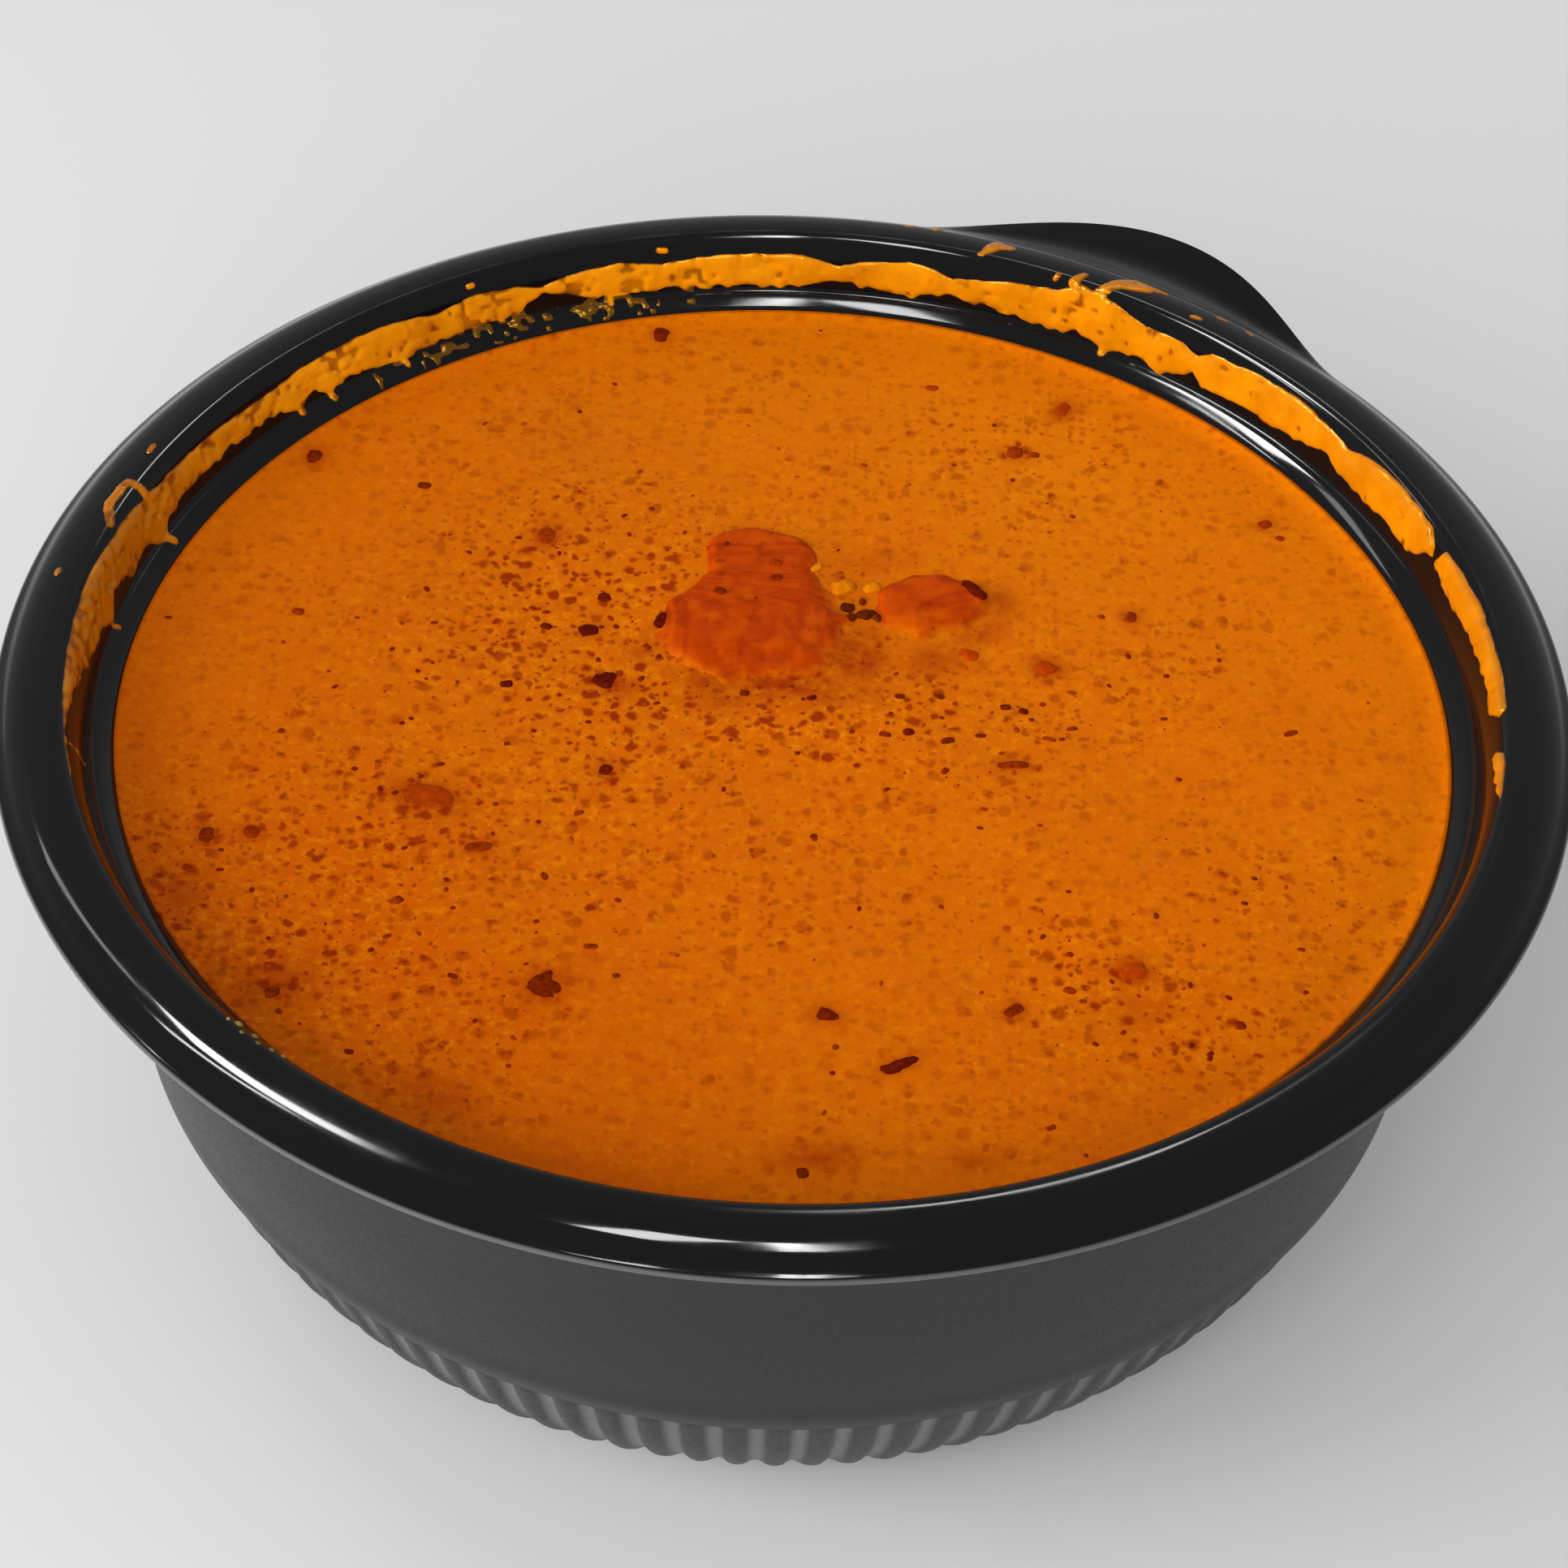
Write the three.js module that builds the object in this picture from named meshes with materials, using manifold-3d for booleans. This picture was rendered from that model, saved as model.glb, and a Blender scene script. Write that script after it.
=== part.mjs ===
// A round black takeaway bowl, filled with smooth orange lamb curry.
// Millimetres, +Z up. The origin is the middle of the bowl's flat base.
import * as THREE from 'three';
import { mergeVertices } from 'three/addons/utils/BufferGeometryUtils.js';
import Module from 'manifold-3d';

const wasm = await Module();
wasm.setup();

// ---- Driving dimensions ----

const BOWL_HEIGHT = 70;
const RIM_RADIUS = 93; // the rim's outermost lip
const WALL = 1.3;
const FLOOR = 1.6;
const BASE_RADIUS = 60; // flat circle that the bowl stands on
const SIDES = 72; // facets round every smooth surface

const RIDGE_DEPTH = 45; // edge where the smooth wall ends, below the rim's top
const RIDGE_STEP = 0.7; // from the ridge in to the ribs' crests
const RIB_COUNT = 100;
const RIB_FACETS = 4;
const RIB_RELIEF = 1.0; // a rib's crest above the valleys beside it
const RIB_CREST = 0.2; // level middle of a rib, as a share of its half width
const RIB_FADE = 4.5; // height over which the ribs die away above the base

const TAB_AZIMUTH = 61; // degrees from +X
const TAB_HALF_ANGLE = 20;
const TAB_REACH = 11.5; // beyond the rim's lip
const TAB_TOP_DEPTH = 2.3;
const TAB_THICKNESS = 1.1;
const TAB_SWEEP = 1.7; // above 1, the tab's sides are hollow where they leave the lip
const TAB_NOSE = 0.45; // rounding of the tab's edge
const TAB_SET_IN = 0.3; // the lip that the tab grows from overlaps it by this much
const TAB_STEPS = 26;

const CURRY_DEPTH = 9.3; // level of the curry below the rim's top
const GAP = 0.3; // clearance between solids that touch in the real bowl
const MENISCUS_RISE = 0.5;
const MENISCUS_WIDTH = 4;
const RIPPLE = 0.16;

const LAMB_DEPTH = 9; // how far the lamb pieces reach below the curry
const LAMB_EDGE_DROP = 0.5; // where their outline lies below the curry
const LAMB_POCKET = 0.6; // clearance of the hollow that a lamb piece sits in
const LAMB_TURNS = 30; // points round a lamb piece
const LAMB_RINGS = 8;
const FURROWS = 7; // shallow furrows across a lamb piece's crown

const FLECK_PROUD = 0.35; // how far the spice flecks stand out of the curry
const FLECK_SUNK = 0.6;
const SPECK_COUNT = 59;
const SPECK_SEED = 7;
const SPECK_SPACING = 0.4;
const SPECK_REACH = 73; // furthest that a speck lies from the middle
const POINTED_BELOW = 1.9; // a fleck shorter than this comes to a point

const CURRY_LEVEL = BOWL_HEIGHT - CURRY_DEPTH;

// ---- Materials ----

const gloss = new THREE.MeshStandardMaterial({ color: 0x17171a, roughness: 0.25, metalness: 0 });
const sauce = new THREE.MeshStandardMaterial({ color: 0xd06c04, roughness: 0.3, metalness: 0 });
const meat = new THREE.MeshStandardMaterial({ color: 0xa63a08, roughness: 0.45, metalness: 0 });

// ---- Helpers ----

// A closed geometry with shared vertices, as a solid that can be joined and cut.
function toSolid(geometry) {
  const bare = geometry.clone();
  bare.deleteAttribute('normal');
  bare.deleteAttribute('uv');
  const merged = mergeVertices(bare, 1e-4);
  const triVerts = [];
  const source = merged.index.array;
  for (let i = 0; i < source.length; i += 3) {
    const [a, b, c] = [source[i], source[i + 1], source[i + 2]];
    if (a !== b && b !== c && c !== a) triVerts.push(a, b, c);
  }
  const mesh = new wasm.Mesh({
    numProp: 3,
    vertProperties: new Float32Array(merged.attributes.position.array),
    triVerts: new Uint32Array(triVerts),
  });
  return new wasm.Manifold(mesh);
}

function toMesh(solid, name, material) {
  const { vertProperties, triVerts } = solid.getMesh();
  const geometry = new THREE.BufferGeometry();
  geometry.setAttribute('position', new THREE.BufferAttribute(vertProperties, 3));
  geometry.setIndex(new THREE.BufferAttribute(triVerts, 1));
  geometry.computeVertexNormals();
  const mesh = new THREE.Mesh(geometry, material);
  mesh.name = name;
  return mesh;
}

// Moves every vertex of a geometry by a function that changes the point it is given.
function reshape(geometry, change) {
  const position = geometry.attributes.position;
  const point = new THREE.Vector3();
  for (let i = 0; i < position.count; i += 1) {
    point.fromBufferAttribute(position, i);
    change(point);
    position.setXYZ(i, point.x, point.y, point.z);
  }
  return geometry;
}

// Turns a profile of [radius, height] points round Z. Points run up the outside.
function turn(profile) {
  const points = profile.map(([radius, height]) => new THREE.Vector2(radius, height));
  return new THREE.LatheGeometry(points, SIDES).rotateX(Math.PI / 2);
}

// A turned shape whose rings can differ in their number of points, and whose radius can
// change round the ring. Rings run up the outside, and a ring of one point is a pole.
function stackRings(rings) {
  const positions = [];
  const triangles = [];
  const starts = rings.map(({ count, z, radiusAt }) => {
    const start = positions.length / 3;
    for (let i = 0; i < count; i += 1) {
      const angle = (i / count) * 2 * Math.PI;
      const radius = radiusAt(angle);
      positions.push(radius * Math.cos(angle), radius * Math.sin(angle), z);
    }
    return start;
  });
  for (let k = 0; k + 1 < rings.length; k += 1) {
    const [low, high] = [rings[k].count, rings[k + 1].count];
    const onLow = (i) => starts[k] + (i % low);
    const onHigh = (j) => starts[k + 1] + (j % high);
    let [i, j] = [0, 0];
    while (i < low || j < high) {
      const stepsLow = (i + 1) / low <= (j + 1) / high;
      const corner = stepsLow ? onLow(i + 1) : onHigh(j + 1);
      const isFlat = corner === onLow(i) || corner === onHigh(j);
      if (!isFlat) triangles.push(onLow(i), corner, onHigh(j));
      if (stepsLow) i += 1;
      else j += 1;
    }
  }
  const geometry = new THREE.BufferGeometry();
  geometry.setAttribute('position', new THREE.Float32BufferAttribute(positions, 3));
  geometry.setIndex(triangles);
  return geometry;
}

// A seeded random number from 0 to 1.
function makeRandom(seed) {
  let state = seed;
  return () => {
    state = (state * 16807) % 2147483647;
    return state / 2147483647;
  };
}

// ---- Bowl ----

// The outside of the wall from the ledge's underside to the base: [radius, depth].
const wallCurve = new THREE.SplineCurve(
  [
    [80.6, 10.4],
    [80.4, 20],
    [80.4, 32.6],
    [79.5, RIDGE_DEPTH],
    [75.8, 56],
    [70.1, 65],
    [65.3, 68.8],
    [BASE_RADIUS, BOWL_HEIGHT],
  ].map(([radius, depth]) => new THREE.Vector2(radius, BOWL_HEIGHT - depth)),
);
const wallPoints = wallCurve.getPoints(120);

// The wall's outer radius at a height, between the neighbouring points of its curve.
function wallRadius(height) {
  const below = Math.max(1, wallPoints.findIndex((point) => point.y <= height));
  const [a, b] = [wallPoints[below - 1], wallPoints[below]];
  return a.x + ((b.x - a.x) * (height - a.y)) / (b.y - a.y);
}

const RIDGE_HEIGHT = BOWL_HEIGHT - RIDGE_DEPTH;
const ribTopHeight = RIDGE_HEIGHT - 0.6;
const ribHeights = [4.6, 10, 17, ribTopHeight];
const smoothHeights = [RIDGE_HEIGHT, RIDGE_HEIGHT + 0.5, 37, 59.4];

// The rim's section: [radius, depth below the rim's top], out, over and back in.
const rimSection = [
  [82.5, 8.6],
  [83.4, 6.4],
  [85.2, 1.8],
  [89.3, 1.5],
  [91.9, 3.6],
  [RIM_RADIUS, 3.4],
  [RIM_RADIUS, 2.9],
  [91.4, 1.9],
  [90.4, 0.8],
  [89.4, 0.2],
  [88.2, 0],
  [85.8, 0],
  [84.7, 0.2],
  [84.1, 1.0],
  [82.1, 6.7],
  [81.4, 7.4],
  [80.2, 7.6],
  [79.6, 8.1],
].map(([radius, depth]) => [radius, BOWL_HEIGHT - depth]);

const innerHeights = [60.4, 37, 22, 12, 6];
const innerRadius = (z) => wallRadius(z) - WALL - (z < RIDGE_HEIGHT ? RIDGE_STEP + RIB_RELIEF : 0);
const innerWall = [
  ...innerHeights.map((z) => [innerRadius(z), z]),
  [innerRadius(6) - 4.5, FLOOR + 0.8],
  [innerRadius(6) - 8.5, FLOOR],
];

// How far a point on the ribbed outside lies in from the wall's curve. A rib is a pillow
// between two rounded valleys, and the ribs flatten towards the base.
function ribInset(angle, z) {
  const turns = (angle * RIB_COUNT) / (2 * Math.PI);
  const fromCrest = Math.abs(2 * (turns - Math.floor(turns)) - 1);
  const fall = THREE.MathUtils.smoothstep(fromCrest, RIB_CREST, 1);
  return Math.min(1, z / RIB_FADE) * (RIDGE_STEP + RIB_RELIEF * fall);
}

const pole = (z) => ({ count: 1, z, radiusAt: () => 0 });
const smoothRing = ([radius, z]) => ({ count: SIDES, z, radiusAt: () => radius });
const ribbedRing = (z) => ({
  count: RIB_COUNT * RIB_FACETS,
  z,
  radiusAt: (angle) => wallRadius(z) - ribInset(angle, z),
});

// The grip tab: a flat bell-shaped plate that widens the rim's lip on one side.
function tabReachAt(angle) {
  const part = Math.min(1, Math.abs(angle) / THREE.MathUtils.degToRad(TAB_HALF_ANGLE));
  return TAB_REACH * Math.cos((part * Math.PI) / 2) ** TAB_SWEEP;
}

function gripTab() {
  const half = THREE.MathUtils.degToRad(TAB_HALF_ANGLE);
  const inner = RIM_RADIUS - TAB_SET_IN - WALL / 2;
  // A flat bar of unit width, which is bent round the lip and pulled out to the tab's reach.
  const bar = new THREE.BoxGeometry(1, 2 * half, TAB_THICKNESS, 3, TAB_STEPS, 2);
  return reshape(bar, (point) => {
    const across = point.x + 0.5;
    const angle = point.y;
    const outer = RIM_RADIUS - TAB_SET_IN + tabReachAt(angle);
    const isEdge = across > 0.99;
    const nose = isEdge ? TAB_NOSE * (2 * Math.abs(point.z / TAB_THICKNESS)) ** 2 : 0;
    const radius = THREE.MathUtils.lerp(inner, outer, Math.sqrt(across)) - nose;
    const azimuth = THREE.MathUtils.degToRad(TAB_AZIMUTH) + angle;
    point.x = radius * Math.cos(azimuth);
    point.y = radius * Math.sin(azimuth);
    point.z += BOWL_HEIGHT - TAB_TOP_DEPTH - TAB_THICKNESS / 2;
  });
}

function makeBowl() {
  const shell = stackRings([
    pole(0),
    smoothRing([BASE_RADIUS, 0]),
    ...ribHeights.map(ribbedRing),
    ...smoothHeights.map((z) => smoothRing([wallRadius(z), z])),
    ...rimSection.map(smoothRing),
    ...innerWall.map(smoothRing),
    pole(FLOOR),
  ]);
  return toSolid(shell).add(toSolid(gripTab()));
}

// ---- Curry ----

const CURRY_EDGE = innerRadius(CURRY_LEVEL) - GAP;
const topRings = [77.2, 74.5, 69, 62, 53, 44, 35, 25, 13];

// Low swells on the curry's skin, and the rim of curry that climbs the wall.
function curryHeight(x, y) {
  const radius = Math.hypot(x, y);
  const toWall = Math.max(0, 1 - (CURRY_EDGE - radius) / MENISCUS_WIDTH);
  const swell = Math.sin(x / 11 + 0.7) * Math.cos(y / 9) + 0.6 * Math.sin((x + y) / 6.5);
  return CURRY_LEVEL + MENISCUS_RISE * toWall ** 2 + RIPPLE * swell * (1 - toWall);
}

function curryBody() {
  const side = innerWall
    .slice(1)
    .reverse()
    .map(([radius, z]) => [radius - GAP, z < 20 ? z + GAP : z]);
  const profile = [
    [0, FLOOR + GAP],
    ...side,
    [CURRY_EDGE, CURRY_LEVEL],
    ...topRings.map((radius) => [radius, CURRY_LEVEL]),
    [0, CURRY_LEVEL],
  ];
  return reshape(turn(profile), (point) => {
    if (point.z > CURRY_LEVEL - 0.01) point.z = curryHeight(point.x, point.y);
  });
}

// A lump of meat: a rounded body below the curry under a low crown that shows.
// Its outline is a closed curve through plan points [x, y].
function lambPiece({ outline, crown, wrinkle }, grow) {
  const ring = new THREE.CatmullRomCurve3(
    outline.map(([x, y]) => new THREE.Vector3(x, y, 0)),
    true,
    'centripetal',
  );
  const edge = ring.getPoints(LAMB_TURNS);
  const middle = edge.slice(1).reduce((sum, point) => sum.add(point), new THREE.Vector3());
  middle.divideScalar(LAMB_TURNS);
  const ball = new THREE.SphereGeometry(1, LAMB_TURNS, LAMB_RINGS).rotateX(Math.PI / 2);
  return reshape(ball, (point) => {
    const fromMiddle = Math.min(1, Math.hypot(point.x, point.y));
    const turned = Math.atan2(point.y, point.x) / (2 * Math.PI);
    const spread = edge[Math.round((turned + 1) * LAMB_TURNS) % LAMB_TURNS].clone().sub(middle);
    spread.setLength((spread.length() + grow) * fromMiddle ** 0.75);
    const up = Math.max(0, point.z);
    const down = Math.max(0, -point.z);
    const furrow = wrinkle * up * Math.sin(2 * Math.PI * FURROWS * turned + 9 * fromMiddle);
    const rise = (crown + LAMB_EDGE_DROP + grow) * up ** 0.8 + furrow;
    point.x = middle.x + spread.x;
    point.y = middle.y + spread.y;
    point.z = CURRY_LEVEL - LAMB_EDGE_DROP + rise - (LAMB_DEPTH + grow) * down;
  });
}

const largePiece = {
  outline: [
    [8.2, 18],
    [4.2, 24.5],
    [2, 31.5],
    [-5.3, 34],
    [-10.3, 31],
    [-10.4, 25],
    [-14.6, 19],
    [-16.2, 13],
    [-12.6, 7],
    [-4, 5.4],
    [5, 8],
  ],
  crown: 1.2,
  wrinkle: 0.12,
};

const smallPiece = {
  outline: [
    [24.8, 20.5],
    [22.6, 25],
    [16.5, 26.3],
    [11.6, 23.4],
    [10.8, 18],
    [14.6, 14.6],
    [21, 15],
  ],
  crown: 0.8,
  wrinkle: 0.08,
};

// The flecks of spice and herb that show best: x, y, length, width, and turn in degrees.
const largeFlecks = [
  [-18.4, 73.4, 3.7, 2.5, 90],
  [-61.5, 45.1, 3.1, 2.3, 100],
  [-46.9, 40.1, 2.2, 1.5, -10],
  [-30.6, 30.9, 3.6, 2.6, 80],
  [-24.3, 13.5, 3.0, 2.5, 20],
  [-21.8, 4.5, 3.8, 2.9, 60],
  [-22.8, 19.6, 2.0, 1.8, 0],
  [-20.7, -11.5, 2.3, 2.0, 70],
  [-41.0, -17.2, 6.4, 4.4, -12],
  [-34.6, -25.2, 3.5, 1.8, 8],
  [-60.7, -24.1, 2.3, 2.1, 0],
  [-65.9, -24.8, 3.0, 2.0, 80],
  [-25.3, -46.7, 5.0, 4.4, 45],
  [6.1, -49.7, 3.2, 2.5, -20],
  [14.0, -56.7, 5.8, 1.7, 28],
  [27.1, -7.9, 4.7, 1.5, 5],
  [8.9, 12.2, 3.0, 2.4, 60],
  [40.1, -41.2, 3.6, 3.2, 0],
  [26.6, -47.8, 3.0, 1.8, 40],
  [28.4, 51.3, 2.9, 2.5, 0],
  [34.8, 60.7, 3.6, 2.0, 70],
  [59.9, 38.5, 2.3, 1.9, 30],
  [42.2, 19.6, 2.4, 1.8, 80],
  [31.5, 9.6, 3.0, 2.2, -30],
];

// Where the specks are thickest: x, y, and the radius that they spread over.
const speckClusters = [
  [-12, -2, 22],
  [-50, -42, 20],
  [40, -42, 16],
  [0, 0, 60],
];

function onLamb(x, y, margin) {
  return [largePiece, smallPiece].some(({ outline }) => {
    const xs = outline.map((point) => point[0]);
    const ys = outline.map((point) => point[1]);
    const inX = x > Math.min(...xs) - margin && x < Math.max(...xs) + margin;
    return inX && y > Math.min(...ys) - margin && y < Math.max(...ys) + margin;
  });
}

// Fine specks, drawn at random round the clusters, clear of the flecks and the lamb.
function scatteredSpecks() {
  const random = makeRandom(SPECK_SEED);
  const specks = [];
  while (specks.length < SPECK_COUNT) {
    const cluster = speckClusters[Math.floor(random() * speckClusters.length)];
    const [cx, cy, spread] = cluster;
    const angle = random() * 2 * Math.PI;
    const distance = spread * Math.sqrt(random());
    const [x, y] = [cx + distance * Math.cos(angle), cy + distance * Math.sin(angle)];
    const length = 1.0 + random() * 0.8;
    const speck = [x, y, length, length * (0.6 + 0.4 * random()), random() * 180];
    const isClear = [...largeFlecks, ...specks].every(([otherX, otherY, otherLength]) => {
      const apart = Math.hypot(otherX - x, otherY - y);
      return apart > (otherLength + length) / 2 + SPECK_SPACING;
    });
    if (isClear && Math.hypot(x, y) < SPECK_REACH && !onLamb(x, y, length)) specks.push(speck);
  }
  return specks;
}

// A fleck is a low faceted plate, sunk in the curry. The smallest ones come to a point.
function fleckSolid([x, y, length, width, turned]) {
  const isPointed = length < POINTED_BELOW;
  const height = FLECK_PROUD + FLECK_SUNK;
  const plate = new THREE.CylinderGeometry(isPointed ? 0 : 0.6, 1, height, isPointed ? 5 : 7);
  plate.rotateX(Math.PI / 2);
  plate.scale(length / 2, width / 2, 1);
  plate.rotateZ(THREE.MathUtils.degToRad(turned));
  plate.translate(x, y, curryHeight(x, y) + FLECK_PROUD - height / 2);
  return toSolid(plate);
}

function makeCurry() {
  let curry = toSolid(curryBody());
  for (const fleck of [...largeFlecks, ...scatteredSpecks()]) {
    curry = curry.add(fleckSolid(fleck));
  }
  for (const piece of [largePiece, smallPiece]) {
    curry = curry.subtract(toSolid(lambPiece(piece, LAMB_POCKET)));
  }
  return curry;
}

// ---- The object ----

const object = new THREE.Group();
object.add(toMesh(makeBowl(), 'bowl', gloss));
object.add(toMesh(makeCurry(), 'curry', sauce));
object.add(toMesh(toSolid(lambPiece(largePiece, 0)), 'lamb_piece_large', meat));
object.add(toMesh(toSolid(lambPiece(smallPiece, 0)), 'lamb_piece_small', meat));

export default object;
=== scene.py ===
import math

import bpy
import numpy as np
from mathutils import Matrix, Vector


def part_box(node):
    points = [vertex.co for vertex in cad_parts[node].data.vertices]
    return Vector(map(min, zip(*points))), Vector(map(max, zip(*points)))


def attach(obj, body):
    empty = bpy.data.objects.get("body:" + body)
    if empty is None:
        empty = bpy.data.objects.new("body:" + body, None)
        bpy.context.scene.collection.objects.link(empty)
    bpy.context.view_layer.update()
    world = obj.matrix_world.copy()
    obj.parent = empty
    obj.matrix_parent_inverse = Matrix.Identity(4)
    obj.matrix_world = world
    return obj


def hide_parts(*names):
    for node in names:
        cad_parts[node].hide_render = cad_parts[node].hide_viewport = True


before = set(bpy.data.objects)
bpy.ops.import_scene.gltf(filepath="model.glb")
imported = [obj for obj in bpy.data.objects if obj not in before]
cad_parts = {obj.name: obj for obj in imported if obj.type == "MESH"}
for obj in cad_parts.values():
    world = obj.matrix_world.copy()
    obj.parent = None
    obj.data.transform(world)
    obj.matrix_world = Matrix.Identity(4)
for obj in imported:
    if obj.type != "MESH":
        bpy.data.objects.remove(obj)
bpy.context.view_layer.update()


# ---- Bowl ----------------------------------------------------------------------------
# A thin bowl of black polypropylene, moulded in one piece: a glossy rolled rim with a lip
# and a grip tab, a satin wall, and upright pillow-shaped flutes down to the flat base.
# Its section is turned round the axis, with the flutes and the tab worked into the turn.

MM = 0.001
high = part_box("bowl")[1]
rim_radius = high.x
bowl_height = high.z
fine_grain_size = 900.0  # noise scale for a grain of about a millimetre


def smooth_run(points, steps):
    """Points on a smooth curve through the given ones, with the last one left out."""
    points = [Vector(p) for p in points]
    run = []
    for i in range(len(points) - 1):
        a = points[max(i - 1, 0)]
        b, c = points[i], points[i + 1]
        d = points[min(i + 2, len(points) - 1)]
        for k in range(steps):
            t = k / steps
            run.append(0.5 * (2 * b + (c - a) * t + (2 * a - 5 * b + 4 * c - d) * t * t
                              + (3 * b - a - 3 * c + d) * t ** 3))
    return run


# The section as (radius, depth below the rim's top) in millimetres, from the middle of the
# base's underside up the outside, over the rim and down the inside.
flute_rise = [(60, 70), (65.3, 68.8), (70.1, 65), (75.8, 56), (79.3, 46.4)]
flute_top = [(79.5, 45.75), (79.5, 45.5), (79.5, 45.15), (79.45, 45)]
plain_wall = [(79.4, 44.7), (80.4, 32.6), (80.4, 20), (80.6, 11.4)]
flare = [(80.75, 10.2), (81.7, 9.3), (82.5, 8.3), (83.2, 6.6), (84.6, 2.6), (85.3, 1.6)]
under_rim = [(86.4, 1.25), (89, 1.5), (91, 3), (91.9, 3.55)]
lip = [(92.3, 3.62), (92.7, 3.6), (92.93, 3.45), (93, 3.2), (92.9, 2.95), (92.5, 2.72), (92, 2.45)]
shoulder = [(91.55, 2.08), (90.95, 1.5), (90.15, .97), (89.25, .58), (88.3, .34), (87.5, .2)]
crest = [(86.9, .15), (86.3, .12), (85.4, .16), (84.75, .38), (84.2, .9), (83.7, 1.7)]
inner_flare = [(83.2, 3), (82.7, 4.6), (82.15, 6.6)]
ledge = [(82, 7), (81.7, 7.35), (81.2, 7.5), (80.4, 8), (79.8, 8.45), (79.5, 8.8)]
inner_wall = [
    (79.35, 9.6), (79.1, 20), (79.1, 32.6), (78, 44), (73.6, 55), (67.5, 62.5), (62, 66.5)]
inner_floor = [(57, 68.2), (50, 68.4), (25, 68.4)]

section = [Vector((0, 70)), Vector((40, 70)), Vector((59.4, 70))]
flute_start = len(section)
section += smooth_run(flute_rise, 4) + [Vector(p) for p in flute_top]
flute_end = len(section)
section += smooth_run(plain_wall, 2) + smooth_run([plain_wall[-1]] + flare, 3)
lip_start = len(section)
section += smooth_run(under_rim, 2) + [Vector(under_rim[-1])] + [Vector(p) for p in lip]
lip_end = len(section)
section += smooth_run(shoulder + crest + inner_flare + ledge, 3) + [Vector(ledge[-1])]
inside_start = len(section)
section += smooth_run(inner_wall, 2) + [Vector(p) for p in inner_floor] + [Vector((0, 68.4))]

foot_blend = 4.5  # the flutes reach their full depth this far above the base
tab_root, tab_blend = 91.2, 1.5  # the tab is drawn out from here, and wholly this much further
lip_edge = 92.8  # the lip catches the light outside this radius
# Painted highlights: the lip's outer edge and the ridge over the flutes are painted a lighter grey
# where light catches them.
ridge_highlight, lip_highlight = 0.5, 0.8
flute_share, tab_share, satin_share, pale_share = np.zeros((4, len(section)))
for i in range(flute_start, flute_end - 1):
    flute_share[i] = min(1.0, (section[0].y - section[i].y) / foot_blend)
for i in range(lip_start, lip_end):
    tab_share[i] = np.clip((section[i].x - tab_root) / tab_blend, 0, 1)
    pale_share[i] = lip_highlight * float(section[i].x > lip_edge)
pale_share[flute_end - 2:flute_end + 1] = ridge_highlight
satin_share[:lip_start] = 1.0


def new_object(name, points, faces, values=None):
    """A smooth mesh object, with the given numbers kept at its points."""
    mesh = bpy.data.meshes.new(name)
    mesh.from_pydata(np.asarray(points).tolist(), [], faces)
    mesh.shade_smooth()
    for key, numbers in (values or {}).items():
        mesh.attributes.new(key, "FLOAT", "POINT").data.foreach_set("value", numbers)
    obj = bpy.data.objects.new(name, mesh)
    bpy.context.scene.collection.objects.link(obj)
    return obj


bowl = new_object("bowl_shell", [(p.x * MM, 0, bowl_height - p.y * MM) for p in section], [], {
    "flute_share": flute_share, "tab_share": tab_share, "satin_share": satin_share,
    "pale_share": pale_share})


class NodeSheet:
    """A node tree that is filled in by short calls. A value is a number or a socket."""

    def __init__(self, tree):
        self.tree = tree

    def add(self, kind, settings=None, **sockets):
        """Adds a node. Sockets go by their labels, with _ for a space, or as i and a number."""
        node = self.tree.nodes.new(kind)
        for key, value in (settings or {}).items():
            setattr(node, key, value)
        for label, value in sockets.items():
            self.feed(node, label.replace("_", " "), value)
        return node

    def feed(self, node, label, value):
        socket = node.inputs[label] if label in node.inputs else node.inputs[int(label[1:])]
        if isinstance(value, bpy.types.NodeSocket):
            self.tree.links.new(value, socket)
        else:
            socket.default_value = value

    def math(self, operation, *values):
        sockets = {f"i{i}": value for i, value in enumerate(values)}
        return self.add("ShaderNodeMath", {"operation": operation}, **sockets).outputs[0]

    def plus(self, first, second):
        return self.math("ADD", first, second)

    def minus(self, first, second):
        return self.math("SUBTRACT", first, second)

    def times(self, first, second):
        return self.math("MULTIPLY", first, second)

    def steps(self, value, from_low, from_high, to_low=0.0, to_high=1.0):
        """A value's place between two limits, clamped, eased, and brought to another range."""
        return self.add("ShaderNodeMapRange", {"interpolation_type": "SMOOTHSTEP"}, Value=value,
                        From_Min=from_low, From_Max=from_high, To_Min=to_low,
                        To_Max=to_high).outputs[0]

    def field(self, name):
        """A number kept at a mesh's points, read in Geometry Nodes."""
        node = self.add("GeometryNodeInputNamedAttribute", {"data_type": "FLOAT"}, Name=name)
        return node.outputs[0]

    def attribute(self, name):
        """A number kept at a mesh's points, read in a material."""
        return self.add("ShaderNodeAttribute", {"attribute_name": name}).outputs["Fac"]

    def noise(self, scale, detail=2.0, roughness=0.5):
        return self.add("ShaderNodeTexNoise", Vector=self.place, Scale=scale, Detail=detail,
                        Roughness=roughness).outputs[0]

    def mix(self, share, first, second):
        """A colour between two."""
        node = self.add("ShaderNodeMix", {"data_type": "RGBA"}, i0=share, i6=first, i7=second)
        return node.outputs[2]


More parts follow.
